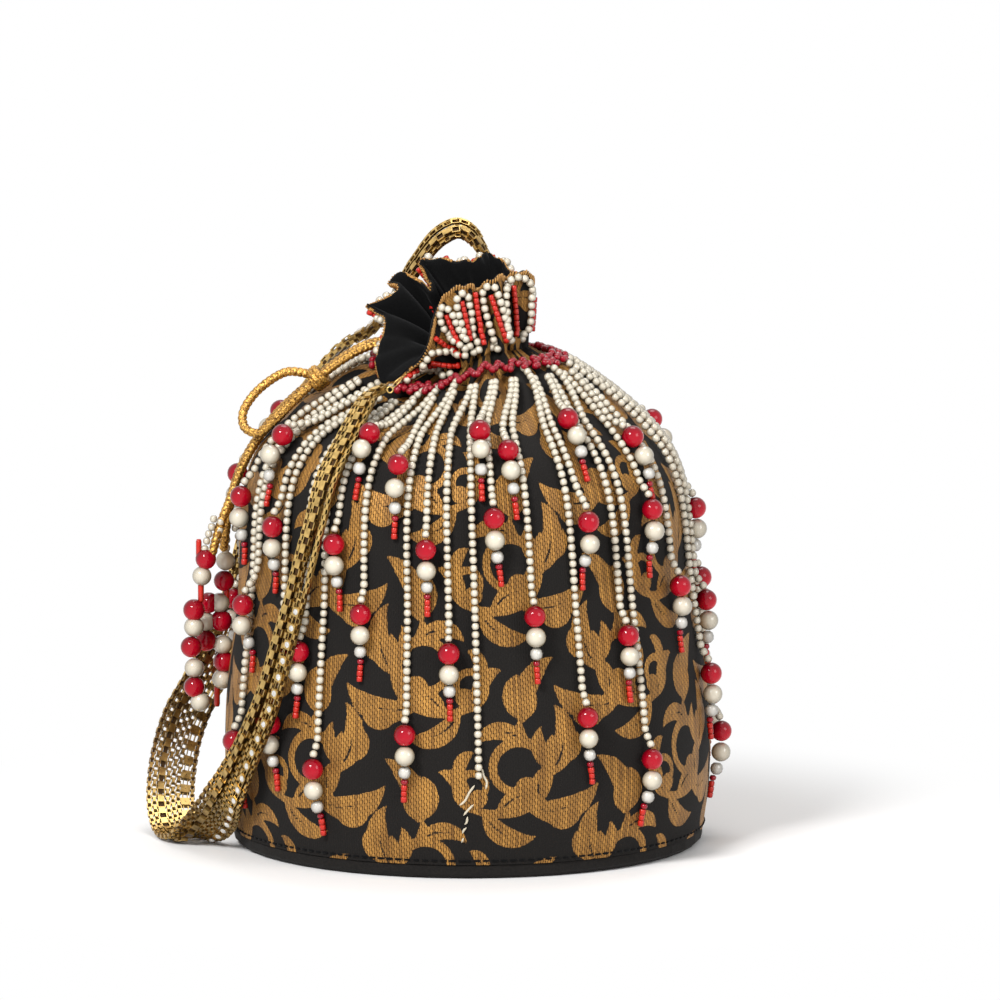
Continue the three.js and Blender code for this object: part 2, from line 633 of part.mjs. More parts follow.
// A tassel: two strings of large beads that hang from a cord's end.
const TASSEL_LENGTH = 66;
const TASSEL_BEADS = 7;
function tasselString(top, foot) {
  const stations = [];
  const back = new THREE.Vector3(1, 0, 0);
  const line = new THREE.LineCurve3(top, foot);
  const knot = 0.12;
  stations.push({ point: line.getPoint(0), normal: back, half: STRING_HALF });
  stations.push({ point: line.getPoint(knot), normal: back, half: STRING_HALF });
  const share = (1 - knot) / TASSEL_BEADS;
  for (let i = 0; i < TASSEL_BEADS; i++) {
    const bead = (i % 2 ? PEARL_DIAMETER : BALL_DIAMETER) / 2;
    stations.push({ point: line.getPoint(knot + (i + 0.5) * share), normal: back, half: 0.86 * bead });
    stations.push({ point: line.getPoint(knot + (i + 1) * share), normal: back, half: STRING_HALF });
  }
  return solid(sweep(stations));
}
function makeTassels() {
  [
    ["tassel_front", TAIL_FRONT, [[-95.6, -4.8], [-100.6, -10.4]]],
    ["tassel_rear", TAIL_REAR, [[-95, 10.6], [-94.2, 2.2]]],
  ].forEach(([name, tail, feet]) => {
    const [x, y, z] = tail.at(-1);
    const along = routeOf(tail).getTangent(1);
    const top = new THREE.Vector3(x, y, z).addScaledVector(along, CLEARANCE + STRING_HALF);
    const head = new THREE.Vector3(0, 0, -1);
    const cap = solid(sweep([
      { point: top, normal: new THREE.Vector3(1, 0, 0), half: CORD_RADIUS },
      { point: top.clone().addScaledVector(head, 4), normal: new THREE.Vector3(1, 0, 0), half: CORD_RADIUS },
    ]));
    const strings = feet.map(([fx, fy]) =>
      tasselString(top.clone().addScaledVector(head, 1.5), new THREE.Vector3(fx, fy, z - TASSEL_LENGTH)));
    addMesh(name, geometryOf(strings.reduce((a, b) => a.add(b), cap)), PEARL);
  });
}

// The chain band's route from the front of the neck down to the floor, round, and up behind to
// the back of the neck. Each row: angle round the bag, height in shares of the neck's, distance
// out from the wall at that height, the turn and the tip of the band's width, and half its width.
const STRAP_ROUTE = [
  [-40, 0.955, 9.5, 0, 0, 0.3],
  [-40, 0.946, 18, 0, 0, 0.35],
  [-39.5, 0.93, 24, 0, 0, 0.5],
  [-38.5, 0.885, 13, 0, 0, 0.6],
  [-36.8, 0.8, 9.6, 0, 0, 0.7],
  [-37.8, 0.71, 9.6, 0, 0, 0.8],
  [-40, 0.63, 9.8, 0, 0, 0.9],
  [-42.4, 0.545, 9.6, 0, 0, 1],
  [-45.6, 0.44, 9.6, 0, 0, 1],
  [-49.1, 0.336, 9.6, 0, 0, 1],
  [-55.4, 0.226, 9, 0, 0, 1],
  [-64.3, 0.13, 8.5, 12, 0, 1],
  [-75.2, 0.055, 10, 45, 0, 1],
  [-83.5, 0.014, 15.5, 80, 0, 1],
  [-92, 0.014, 20.5, 95, 0, 1],
  [-99.2, 0.06, 24, 110, 0, 1],
  [-105.3, 0.135, 24, 125, 0, 1],
  [-109.7, 0.21, 22.4, 138, 0, 1],
  [-113.7, 0.27, 20.2, 150, 0, 1],
  [-118.1, 0.336, 18.4, 160, 0, 1],
  [-122.9, 0.468, 15.8, 172, 0, 1],
  [-126.3, 0.634, 14, 180, 0, 1],
  [-129.2, 0.8, 12, 184, 0, 1],
  [-130, 0.905, 17, 188, 5, 0.9],
  [-130.6, 0.99, 37, 195, 10, 0.7],
  [-133, 1.03, 33, 215, 20, 0.6],
  [-140, 1.16, 17, 250, 32, 0.5],
  [-150, 1.222, 9.5, 262, 36, 0.5],
  [-164, 1.24, 6.5, 268, 38, 0.5],
  [-175, 1.228, 5.5, 270, 36, 0.5],
  [-184, 1.2, 5, 275, 25, 0.45],
  [-194, 1.155, 5, 320, 10, 0.35],
  [-204, 1.09, 4.2, 355, 0, 0.3],
  [-208, 1.045, 4, 360, 0, 0.3],
];
function wallRadius(height) {
  const i = Math.max(1, ROW_POINTS.findIndex((p) => p.y >= height));
  if (height >= NECK_HEIGHT) return NECK_RADIUS;
  const [lower, upper] = [ROW_POINTS[i - 1], ROW_POINTS[i]];
  return lerp(lower.x, upper.x, Math.max(0, (height - lower.y) / (upper.y - lower.y)));
}
// The band in section: ridges for its rows of chain on the outer face, with a taller one for
// the checked row and one for the row of stones.
const STRAP_SECTION = [
  [-1, -0.6], [0, -1], [1, -0.6], [0.9, 0.7], [0.58, 1.3], [0.2, 0.7], [-0.12, 0.8], [-0.44, 1.4],
  [-0.9, 0.7],
];
const STRAP_STATIONS = 36;
function makeStrap() {
  const places = [];
  const poses = [];
  STRAP_ROUTE.forEach(([degrees, share, off, turn, tip, width]) => {
    const angle = degToRad(degrees);
    const height = share * NECK_HEIGHT;
    const reach = wallRadius(height) + off;
    const middle = height > YOKE_HEIGHT ? NECK_OFFSET : 0;
    places.push(new THREE.Vector3(middle + reach * Math.sin(angle), -reach * Math.cos(angle), height));
    poses.push(new THREE.Vector3(degToRad(turn), degToRad(tip), width));
  });
  const route = new THREE.CatmullRomCurve3(places);
  const pose = new THREE.CatmullRomCurve3(poses);
  const rings = [];
  for (let i = 0; i <= STRAP_STATIONS; i++) {
    const t = route.getUtoTmapping(i / STRAP_STATIONS);
    const at = route.getPoint(t);
    const along = route.getTangent(t);
    const { x: turn, y: tip, z: width } = pose.getPoint(t);
    const angle = Math.atan2(at.x, -at.y);
    const round = new THREE.Vector3(Math.cos(angle), Math.sin(angle), 0);
    const out = new THREE.Vector3(Math.sin(angle), -Math.cos(angle), 0);
    const across = round.multiplyScalar(Math.cos(turn)).addScaledVector(out, -Math.sin(turn));
    across.multiplyScalar(Math.cos(tip)).setZ(Math.sin(tip));
    across.addScaledVector(along, -across.dot(along)).normalize();
    const face = across.clone().cross(along).negate();
    rings.push(STRAP_SECTION.map(([a, b]) =>
      at.clone()
        .addScaledVector(across, a * width * STRAP_HALF_WIDTH)
        .addScaledVector(face, b * STRAP_HALF_THICKNESS)));
  }
  addMesh("chain_strap", loft(rings), CHAIN_GOLD);
}

makeBase();
makeBrocade();
makeLining();
makeFringe();
makeRuffleTrim();
makeCord();
makeKnot();
makeTassels();
makeStrap();

export default bag;
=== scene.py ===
# %% [markdown]
# # A potli bag
# A potli is a round drawstring pouch carried to weddings. This one is brocade over a stiff
# black base. A cord gathers its neck and leaves a standing ruffle, beaded strings hang from
# a collar of red beads, and the strap is a band of brass chains with a row of stones.
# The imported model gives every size, and each piece below is laid on it in metres.

# %% Load the frame
import math
import bpy
import numpy as np
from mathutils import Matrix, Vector


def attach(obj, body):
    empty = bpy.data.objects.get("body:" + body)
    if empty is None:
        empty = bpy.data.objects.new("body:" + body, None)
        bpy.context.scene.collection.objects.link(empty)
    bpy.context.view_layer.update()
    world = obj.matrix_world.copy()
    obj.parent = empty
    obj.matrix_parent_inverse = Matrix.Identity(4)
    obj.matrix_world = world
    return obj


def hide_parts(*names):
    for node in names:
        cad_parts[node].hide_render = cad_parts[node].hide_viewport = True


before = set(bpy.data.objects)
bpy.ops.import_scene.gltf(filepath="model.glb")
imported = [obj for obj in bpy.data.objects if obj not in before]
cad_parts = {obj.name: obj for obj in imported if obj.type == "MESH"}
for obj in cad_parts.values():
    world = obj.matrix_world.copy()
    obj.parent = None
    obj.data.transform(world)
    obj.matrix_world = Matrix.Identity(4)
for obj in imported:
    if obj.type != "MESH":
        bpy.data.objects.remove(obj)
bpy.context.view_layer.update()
MM = 0.001
print("the frame holds", len(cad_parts), "nodes")

# %% [markdown]
# ## The camera
# The photograph looks slightly down on the bag, and its verticals and ellipses hardly
# converge. A long lens from far away at 8.7 degrees gives the same flat perspective. The
# aim lies right of the bag, which therefore stands left of the middle of the picture.

# %% Place the camera
AIM = Vector((11.85, 0, 126.6)) * MM
DISTANCE = 5000 * MM
FRAME_WIDTH = 370.4 * MM
LOOKING_DOWN = math.radians(8.7)
camera = bpy.data.objects.new("camera", bpy.data.cameras.new("camera"))
bpy.context.scene.collection.objects.link(camera)
camera.data.sensor_width = 36
camera.data.lens = camera.data.sensor_width * DISTANCE / FRAME_WIDTH
backwards = Vector((0, -math.cos(LOOKING_DOWN), math.sin(LOOKING_DOWN)))
camera.location = AIM + DISTANCE * backwards
camera.rotation_euler = (-backwards).to_track_quat("-Z", "Y").to_euler()
bpy.context.scene.camera = camera
print("camera at", [round(x, 3) for x in camera.location])

# %% [markdown]
# ## Pixels and millimetres
# Some places below are pixels of the photograph. A step sideways moves a point across the
# picture only, and a step up or back moves it up.

# %% Where a point shows
MIDDLE_X, FLOOR_Y = 468, 838
PX_ACROSS, PX_UP, PX_BACK = 2.7, 2.669, 0.408


def pixels(point):
    x, y, z = np.moveaxis(np.asarray(point, float), -1, 0)
    return MIDDLE_X + PX_ACROSS * x, FLOOR_Y - PX_UP * z - PX_BACK * y


def at_depth(x, y, depth):
    """The point that shows at a pixel and lies at a given depth."""
    return np.array([(x - MIDDLE_X) / PX_ACROSS, depth, (FLOOR_Y - y - PX_BACK * depth) / PX_UP])


print("the pixel (391, 391) lies", at_depth(391, 391, 0).round(1), "mm from the base's middle")

# %% [markdown]
# ## Small helpers
# Each material is a short tree of nodes. One function adds a node with its settings and its
# links. A node can be given as an input too, and then stands for its first live output.
# Colours are written as sRGB hex values, as a designer notes them, and are turned to the
# linear values that the renderer works in.

# %% Colours and nodes
def colour(text):
    parts = [int(text[i:i + 2], 16) / 255 for i in (1, 3, 5)]
    return [p / 12.92 if p <= 0.04045 else ((p + 0.055) / 1.055) ** 2.4 for p in parts] + [1]


def feed(tree, node, inputs):
    for key, value in dict(inputs).items():
        if isinstance(value, bpy.types.Node):
            value = next(socket for socket in value.outputs if socket.enabled)
        if isinstance(value, bpy.types.NodeSocket):
            tree.links.new(value, node.inputs[key])
        else:
            node.inputs[key].default_value = value


def add(tree, kind, inputs=(), **settings):
    made = tree.nodes.new(kind)
    for key, value in settings.items():
        setattr(made, key, value)
    feed(tree, made, inputs)
    return made


def new_material(name, **values):
    made = bpy.data.materials.new(name)
    made.use_nodes = True
    shader = made.node_tree.nodes["Principled BSDF"]
    feed(made.node_tree, shader, {key.replace("_", " "): value for key, value in values.items()})
    return made, made.node_tree, shader


def mottled(name, dark, light, grains, detail=2.0, **values):
    """A material of two tones in flecks, with so many to the metre."""
    made, tree, shader = new_material(name, **values)
    place = add(tree, "ShaderNodeTexCoord").outputs["Object"]
    flecks = add(tree, "ShaderNodeTexNoise", {"Vector": place, "Scale": grains, "Detail": detail})
    tones = {"Factor": flecks, 6: colour(dark), 7: colour(light)}
    feed(tree, shader, {"Base Color": add(tree, "ShaderNodeMix", tones, data_type="RGBA")})
    return made, tree, shader, flecks


print("middle grey in linear light is", round(colour("#808080")[0], 3))

# %% [markdown]
# ## Pieces from grids of points
# Cloth, cord and links all come from rings of points. `ring_faces` joins each ring to the
# next, `rings_round` lays rings round a line, and `add_piece` turns points in millimetres
# into an object in metres that stands at the origin and rides on the frame's one body.

# %% Build objects
SQUARE = [(-1, -1), (1, -1), (1, 1), (-1, 1)]


def ring_faces(rings, sides, closed=False):
    i = np.arange(rings if closed else rings - 1)[:, None] * sides
    above = np.roll(np.arange(rings), -1)[: len(i)][:, None] * sides
    j = np.arange(sides)[None, :]
    k = (j + 1) % sides
    return np.stack([i + j, i + k, above + k, above + j], -1).reshape(-1, 4)


def end_fans(sides, count):
    """Triangles from a tube's first and last rings to the two tips after its count points."""
    fans = []
    for j in range(sides):
        k = (j + 1) % sides
        fans += [[k, j, count], [count - sides + j, count - sides + k, count + 1]]
    return fans


def rings_round(centres, side, up, radius, sides):
    """A ring of points round each centre. The radius is one number a ring or a point."""
    angle = np.arange(sides) * 2 * np.pi / sides
    ring = side[:, None] * np.cos(angle)[:, None] + up[:, None] * np.sin(angle)[:, None]
    return centres[:, None] + np.reshape(radius, (len(centres), -1, 1)) * ring


def add_piece(name, points, faces, finish, smooth=True, extra=()):
    mesh = bpy.data.meshes.new(name)
    corners = [list(map(int, face)) for face in faces] + [list(face) for face in extra]
    mesh.from_pydata((np.asarray(points) * MM).tolist(), [], corners)
    mesh.polygons.foreach_set("use_smooth", [smooth] * len(mesh.polygons))
    mesh.materials.append(finish)
    mesh.update()
    return show(name, mesh)


def new_object(name, data):
    made = bpy.data.objects.new(name, data)
    bpy.context.scene.collection.objects.link(made)
    return made


def store(mesh, label, kind, domain, values):
    kept = mesh.attributes.new(label, kind, domain)
    kept.data.foreach_set("vector" if kind == "FLOAT_VECTOR" else "value", np.ravel(values))


def show(name, mesh):
    piece = new_object(name, mesh)
    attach(piece, "root")
    print(name, "has", sum(len(p.vertices) - 2 for p in mesh.polygons), "triangles")
    return piece


def nodes_named(start):
    return sorted(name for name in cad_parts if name.startswith(start))


print(len(nodes_named("fringe_")), "groups of strings in the model")

# %% [markdown]
# ## Curves through chosen points
# The model's curves are centripetal Catmull-Rom splines, which pass through every chosen
# point without loops. The same curve is worked out here, so cloth and cord lie exactly
# where the model has them.

# %% The spline
def smooth_step(x, low, high):
    t = np.clip((x - low) / (high - low), 0, 1)
    return t * t * (3 - 2 * t)


def spline(points, t, closed=False):
    points = np.asarray(points, float)
    count = len(points)
    spans = count if closed else count - 1
    place = np.clip(np.asarray(t, float), 0, 1) * spans
    i = np.minimum(np.floor(place).astype(int), spans - 1)
    w = (place - i)[:, None]
    ends = np.vstack([2 * points[0] - points[1], points, 2 * points[-1] - points[-2]])
    p0, p1, p2, p3 = (
        points[(i + k) % count] if closed else ends[i + k + 1] for k in (-1, 0, 1, 2)
    )
    d0, d1, d2 = (
        np.sqrt(np.maximum(np.linalg.norm(b - a, axis=1), 1e-6))[:, None]
        for a, b in ((p0, p1), (p1, p2), (p2, p3))
    )
    m1 = d1 * ((p1 - p0) / d0 - (p2 - p0) / (d0 + d1) + (p2 - p1) / d1)
    m2 = d1 * ((p2 - p1) / d1 - (p3 - p1) / (d1 + d2) + (p3 - p2) / d2)
    bend = 3 * (p2 - p1) - 2 * m1 - m2
    return p1 + m1 * w + bend * w ** 2 + (2 * (p1 - p2) + m1 + m2) * w ** 3


def lengths_along(points):
    steps = np.linalg.norm(np.diff(points, axis=0), axis=1)
    return np.concatenate([[0], np.cumsum(steps)])


def read_at(places, marks, rows):
    """The rows that belong to the marks, read off at other places."""
    return np.stack([np.interp(places, marks, column) for column in rows.T], 1)


def spaced(points, pitch, start=0.0, end=None):
    """Even places along a line, with the lengths that they lie at."""
    along = lengths_along(points)
    end = along[-1] if end is None else end
    count = max(2, int(round((end - start) / pitch)) + 1)
    places = np.linspace(start, end, count)
    return read_at(places, along, points), places


def unit(vectors):
    return vectors / np.maximum(np.linalg.norm(vectors, axis=-1, keepdims=True), 1e-9)


print("a straight span is crossed evenly:", spline([[0, 0], [1, 0]], [0.25, 0.75])[:, 0].round(2))

# %% [markdown]
# ## Lurex cord
# The drawcord is crocheted from metallic thread, a flat foil wound round a core. It glints
# like a rough brass. Six columns of slanted stitches run along it, each leaning against its
# neighbour as in a plait, and the tube below carries each stitch as a small swelling.

# %% The cord's thread
gold_cord, tree, shader = new_material(
    "metallic crochet thread with painted glints", Metallic=0.62, Roughness=0.42, Specular_IOR_Level=0.6
)
place = add(tree, "ShaderNodeTexCoord").outputs["Object"]
# Foil turns of about 0.6 mm show as painted glints and painted shade in the colour.
foil = add(tree, "ShaderNodeTexNoise", {"Vector": place, "Scale": 1500.0, "Detail": 2.0})
painted_glints_and_shade = add(tree, "ShaderNodeValToRGB", {"Fac": foil})
low, high = painted_glints_and_shade.color_ramp.elements
low.position, low.color = 0.36, colour("#5E3A10")
high.position, high.color = 0.62, colour("#DDA950")
lumpy = add(tree, "ShaderNodeBump", {"Height": foil, "Strength": 0.6, "Distance": 0.0003})
feed(tree, shader, {"Base Color": painted_glints_and_shade, "Normal": lumpy})
print("made", gold_cord.name)

# %% [markdown]
# ## The plaited tube
# A frame of two directions is carried along each cord's line, so the tube never twists at
# a bend. The radius then rises and falls with the plait.

# %% Plait a cord
CORD_DIAMETER = 3.0
CORD_SIDES, RING_STEP = 24, 0.26
STITCH_PITCH, STITCH_COLUMNS = 2.0, 6
# The cord is thinnest between its stitches, and each stitch swells it by a share.
THINNEST, SWELL = 0.78, 0.4


def carried_frames(line):
    along = unit(np.gradient(line, axis=0))
    side = np.zeros_like(line)
    first = np.cross(along[0], (0.0, 1.0, 0.2))
    side[0] = first / np.linalg.norm(first)
    for i in range(1, len(line)):
        carried = side[i - 1] - along[i] * np.dot(side[i - 1], along[i])
        side[i] = carried / np.linalg.norm(carried)
    return along, side, np.cross(along, side)


def plaited_tube(name, line, diameter):
    centres, places = spaced(line, RING_STEP)
    _, side, up = carried_frames(centres)
    column = np.arange(CORD_SIDES) * STITCH_COLUMNS / CORD_SIDES
    beside = column % 1 - 0.5
    lean = np.where(np.floor(column) % 2, 1.0, -1.0)
    ahead = (places[:, None] / STITCH_PITCH + 0.5 * lean * beside) % 1 - 0.5
    stitch = np.sqrt(1 - (1.7 * beside) ** 2) * np.sqrt(1 - (1.96 * ahead) ** 2)
    radius = diameter / 2 * (THINNEST + SWELL * stitch)
    # A plaited end is whipped, so it narrows to a round tip.
    tip = np.minimum(places, places[-1] - places) / (0.5 * diameter)
    radius = radius * np.sqrt(np.clip(1 - (1 - np.clip(tip, 0.02, 1)) ** 2, 0, 1))[:, None]
    points = rings_round(centres, side, up, radius, CORD_SIDES).reshape(-1, 3)
    ends = end_fans(CORD_SIDES, len(points))
    points = np.vstack([points, centres[0], centres[-1]])
    faces = ring_faces(len(centres), CORD_SIDES)
    return add_piece(name, points, faces, gold_cord, extra=ends)

# %% [markdown]
# ## The tails and the bow
# Both tails leave a slit in the casing at the bag's left, run down its side and end inside
# the heads of their tassels. A knot ties them together, and a bow loop stands out of the knot.

# %% Cord routes
TAIL_FRONT = [
    [-21.7, -1.9, 183.2], [-27.5, -3, 185.4], [-36, -4, 184.8], [-45.5, -5, 180.4],
    [-55.5, -5.2, 172.9], [-63.5, -5, 166.2], [-72, -5, 157.6], [-79.6, -5, 147.2],
    [-84.8, -5, 137], [-88.2, -5.5, 127.2], [-91.5, -6.5, 118.6], [-93.6, -7.2, 111.5],
    [-95, -7.6, 106.5],
]
TAIL_REAR = [
    [-21.7, 1.9, 183.2], [-27.5, 1.8, 185.8], [-36, 1, 185.2], [-45.5, -0.6, 180.6],
    [-55.5, -1.7, 172.9], [-63.5, -1.2, 166.2], [-72, -0.4, 157.6], [-79.6, 0.6, 147.2],
    [-84.8, 1.4, 137], [-87.6, 2, 127.2], [-89.2, 3, 118.6], [-90.2, 4, 111.5],
    [-90.8, 4.6, 106.5],
]
BOW_LOOP = [
    [-57.2, -3.4, 173.6], [-61.6, -3.2, 174.8], [-67, -2.6, 174.9], [-73.5, -2, 171.4],
    [-79.8, -2.2, 165.6], [-83.2, -4, 159.6], [-82.4, -7.5, 154.8], [-77.4, -10.6, 153.2],
    [-71.2, -11.6, 158.2], [-65.6, -10.9, 164], [-61.2, -10, 168.4], [-57.8, -7.6, 171],
]
cords = {}
for name, route in (
    ("cord_front", TAIL_FRONT), ("cord_rear", TAIL_REAR), ("cord_bow", BOW_LOOP)
):
    line = spline(route, np.linspace(0, 1, 241))
    cords[name] = (plaited_tube(name, line, CORD_DIAMETER), line)
    print(name, "is", round(lengths_along(line)[-1], 1), "mm long")

# %% [markdown]
# ## The knot
# The bow's knot is the same cord wound round both tails. Two and a half turns of a
# flattened coil make it, on the line that the tails follow there.

# %% Wind the knot
KNOT_MIDDLE = np.array([-55.5, -3.45, 172.9])
KNOT_TURNS, KNOT_LENGTH = 2.6, 4.48
KNOT_DEPTH, KNOT_HEIGHT = 5.2, 3.4
PULLED_THIN = 2.5
down = unit(np.array([-8.9, 0, -7.0]))
level = np.array([0.0, 1.0, 0.0])
turned = np.linspace(0, KNOT_TURNS * 2 * np.pi, 120)
knot_line = (
    KNOT_MIDDLE
    + np.outer(np.linspace(-0.5, 0.5, 120) * KNOT_LENGTH, down)
    + np.outer(KNOT_DEPTH * np.cos(turned), level)
    + np.outer(KNOT_HEIGHT * np.sin(turned), np.cross(down, level))
)
knot = plaited_tube("knot", knot_line, PULLED_THIN)
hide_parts("cord_knot")

# %% [markdown]
# ## The cloth's shape
# The pouch is a section swept round, with sixteen gathers that deepen towards the neck. It
# sags at the front left, where the mouth opens into a spout. The numbers are the model's,
# and small uneven waves are added to them, because hand-gathered cloth is never regular.

# %% The pouch's section
BASE_RADIUS, SEAM_HEIGHT = 87.0, 5.0
BELLY_RADIUS, SHOULDER_RADIUS = 90.4, 76.0
YOKE_RADIUS, YOKE_HEIGHT = 42.0, 174.3
COLLAR_RADIUS, NECK_RADIUS, NECK_HEIGHT = 33.0, 18.0, 181.5
CASING_HEIGHT, NECK_OFFSET, SHOULDER_OFFSET = 3.4, 3.0, -2.3
PLEATS, PLEAT_DEPTH, FRONT_DIP = 16, 2.6, 9.0
RUFFLE_HEIGHT, RUFFLE_REACH = 32.0, 40.0
PROFILE = [
    (BASE_RADIUS + 0.4, 0, SEAM_HEIGHT),
    (BELLY_RADIUS, 0, 32),
    (84.2, SHOULDER_OFFSET / 2, 96),
    (SHOULDER_RADIUS, SHOULDER_OFFSET, 145),
    (YOKE_RADIUS, SHOULDER_OFFSET / 3, YOKE_HEIGHT),
    (
        (YOKE_RADIUS + NECK_RADIUS) / 2,
        NECK_OFFSET / 4,
        YOKE_HEIGHT + 0.6 * (NECK_HEIGHT - YOKE_HEIGHT),
    ),
    (NECK_RADIUS, NECK_OFFSET, NECK_HEIGHT),
    (NECK_RADIUS, NECK_OFFSET, NECK_HEIGHT + CASING_HEIGHT),
]
fine_t = np.linspace(0, 1, 4001)
fine_profile = spline(PROFILE, fine_t)
fine_length = lengths_along(fine_profile[:, [0, 2, 2]] * [1, 1, 0])
WALL_LENGTH = fine_length[-1]
COLLAR_LENGTH = fine_length[np.where(fine_profile[:, 0] > COLLAR_RADIUS)[0][-1]]
print("the wall measures", round(WALL_LENGTH, 1), "mm from the seam to the casing")

# %% Points on the pouch
def dip(angle, radius):
    away = angle - math.radians(-38)
    away = np.abs(np.arctan2(np.sin(away), np.cos(away)))
    across = np.cos(np.minimum(away / math.radians(60), 1) * np.pi / 2) ** 2
    return FRONT_DIP * across * (1 - smooth_step(radius, 40, SHOULDER_RADIUS))


def wall(length, angle, lift=0.0, folds=1.0):
    """A point on the cloth, a length up from the seam. With folds 0 it lies over the gathers."""
    length, angle, lift = np.broadcast_arrays(np.asarray(length, float), angle, lift)
    t = np.interp(length, fine_length, fine_t)
    radius, lean, height = (np.interp(t, fine_t, fine_profile[:, k]) for k in range(3))
    d_radius = np.interp(length + 0.5, fine_length, fine_profile[:, 0])
    d_radius = d_radius - np.interp(length - 0.5, fine_length, fine_profile[:, 0])
    d_height = np.interp(length + 0.5, fine_length, fine_profile[:, 2])
    d_height = d_height - np.interp(length - 0.5, fine_length, fine_profile[:, 2])
    size = np.hypot(d_radius, d_height)
    out_radius, out_height = d_height / size, -d_radius / size
    slack = 1 - smooth_step(radius, NECK_RADIUS, SHOULDER_RADIUS)
    uneven = 1 + slack * (1 - slack) * np.sin(5 * angle + 1)
    pleat = 0.5 - 1.5 * ((1 + np.cos(PLEATS * angle)) / 2) ** 1.6
    small = 0.5 * np.sin(37 * angle + 2 * np.sin(3 * angle)) + 0.4 * np.sin(23 * angle + 1.3)
    waves = 0.35 * np.sin(7 * angle + 0.045 * length) + 0.3 * np.sin(0.11 * length + 4 * angle + 2)
    gather = PLEAT_DEPTH * slack * uneven * (1.25 * pleat - 0.1) + slack ** 1.5 * small
    gather = gather + (1 - slack) * waves * smooth_step(length, 4, 25)
    push = folds * gather + (1 - folds) * PLEAT_DEPTH * slack * 0.5 + lift
    reach = radius + push * out_radius
    return np.stack(
        [
            lean + reach * np.sin(angle),
            -reach * np.cos(angle),
            height + push * out_height - dip(angle, radius),
        ],
        -1,
    )


print("28 mm up, the front of the belly lies", round(-wall(28.0, 0.0)[1], 1), "mm from the axis")

# %% [markdown]
# ## The ruffle's rim
# Above the cord the cloth stands up in a ruffle that was read off the photograph: each row
# gives a column round the bag, a place over the neck and a rise, as shares of the ruffle's
# reach and height.

# %% Points on the ruffle
RIM = [
    [0.5, -0.04, -0.43, 0.76], [1.5, 0, -0.25, 0.67], [3, 0.08, -0.4, 0.78],
    [5, 0.22, -0.35, 0.86], [7.5, 0.27, -0.15, 0.8], [8.3, 0.33, -0.2, 0.86],
    [10, 0.49, -0.1, 0.85], [12, 0.52, 0.1, 0.69], [14.5, 0.33, 0.2, 0.8],
    [16, 0.25, 0.27, 0.92], [18, 0.11, 0.32, 1], [21, -0.04, 0.17, 0.95],
    [26, -0.52, 0.36, 0.91], [29, -0.42, 0.14, 0.62], [30.5, -0.66, 0.25, 0.8],
    [31.7, -0.81, 0.16, 0.7], [33, -0.72, 0, 0.64], [34.5, -1.02, -0.1, 0.45],
    [36, -0.85, -0.2, 0.36], [37, -0.86, -0.3, 0.18], [38, -0.9, -0.4, 0.01],
    [39, -0.93, -0.5, -0.17], [40, -0.84, -0.56, -0.37], [42, -0.59, -0.6, -0.19],
    [43.4, -0.43, -0.55, 0.09], [45, -0.36, -0.45, 0.48], [46.5, -0.24, -0.5, 0.72],
]
COLUMNS = 48
rim = np.array(RIM)
rim_points = np.stack(
    [
        NECK_OFFSET + rim[:, 1] * RUFFLE_REACH,
        rim[:, 2] * RUFFLE_REACH,
        NECK_HEIGHT + CASING_HEIGHT + rim[:, 3] * RUFFLE_HEIGHT,
    ],
    1,
)


def rim_at(column):
    turned = rim[0, 0] + (np.asarray(column, float) - rim[0, 0]) % COLUMNS
    marks = np.append(rim[:, 0], rim[0, 0] + COLUMNS)
    place = np.interp(turned, marks, np.arange(len(marks)))
    return spline(rim_points, place / len(rim), closed=True)


def ruffle(share, column):
    """A point on the ruffle: share 0 is at the casing and 1 at the rim."""
    share, column = np.broadcast_arrays(np.asarray(share, float), np.asarray(column, float))
    shape = share.shape
    share, column = share.ravel(), column.ravel()
    angle = column * 2 * np.pi / COLUMNS
    foot = wall(WALL_LENGTH, angle)
    top = rim_at(column)
    bend = foot + 0.3 * (top - foot)
    bend[:, 2] = foot[:, 2] + np.maximum(0.5 * (top[:, 2] - foot[:, 2]), 0.2 * RUFFLE_HEIGHT)
    s = share[:, None]
    points = (1 - s) ** 2 * foot + 2 * s * (1 - s) * bend + s * s * top
    flutter = 0.5 * share ** 2 * np.sin(31 * angle + 1.7 * np.sin(5 * angle))
    points[:, 2] += flutter
    return points.reshape(*shape, 3)


print("the rim runs", round(lengths_along(rim_at(np.linspace(0, 48, 400)))[-1]), "mm round")

# %% [markdown]
# ## The brocade's figure
# The cloth shows scrolling acanthus, a pattern that weavers have used for centuries: a
# stem curls into a scroll and throws leaves off its outer side. Each stroke below is a
# short walk that turns as it goes and swells in the middle. The distance to the nearest
# stroke is stored at each point of the cloth, and the material cuts the figure from it with
# a sharp edge.

# %% Draw the strokes
ROUND_THE_BELLY = 7
DRAWN = (113.6, 104.0)
MOTIF = 2 * math.pi * BELLY_RADIUS / ROUND_THE_BELLY / DRAWN[0]
SWELLS = {
    "leaf": ([0, 0.14, 0.32, 0.5, 0.7, 0.87, 1], [0.34, 0.62, 0.95, 1, 0.78, 0.36, 0.02]),
    "stem": ([0, 0.3, 1], [0.6, 1, 0.62]),
    "vein": ([0, 0.3, 1], [1, 1, 0.15]),
}


def stroke(x, y, heading, length, turn, half, kind="leaf", tighten=1.0, steps=14):
    share = np.linspace(0, 1, steps)
    angle = np.radians(heading + turn * share ** tighten)
    pace = length / (steps - 1)
    middle = (angle[1:] + angle[:-1]) / 2
    xs = x + np.concatenate([[0], np.cumsum(np.cos(middle))]) * pace
    ys = y + np.concatenate([[0], np.cumsum(np.sin(middle))]) * pace
    width = half * np.interp(share, *SWELLS[kind])
    return np.stack([xs, ys, width, np.degrees(angle)], 1)


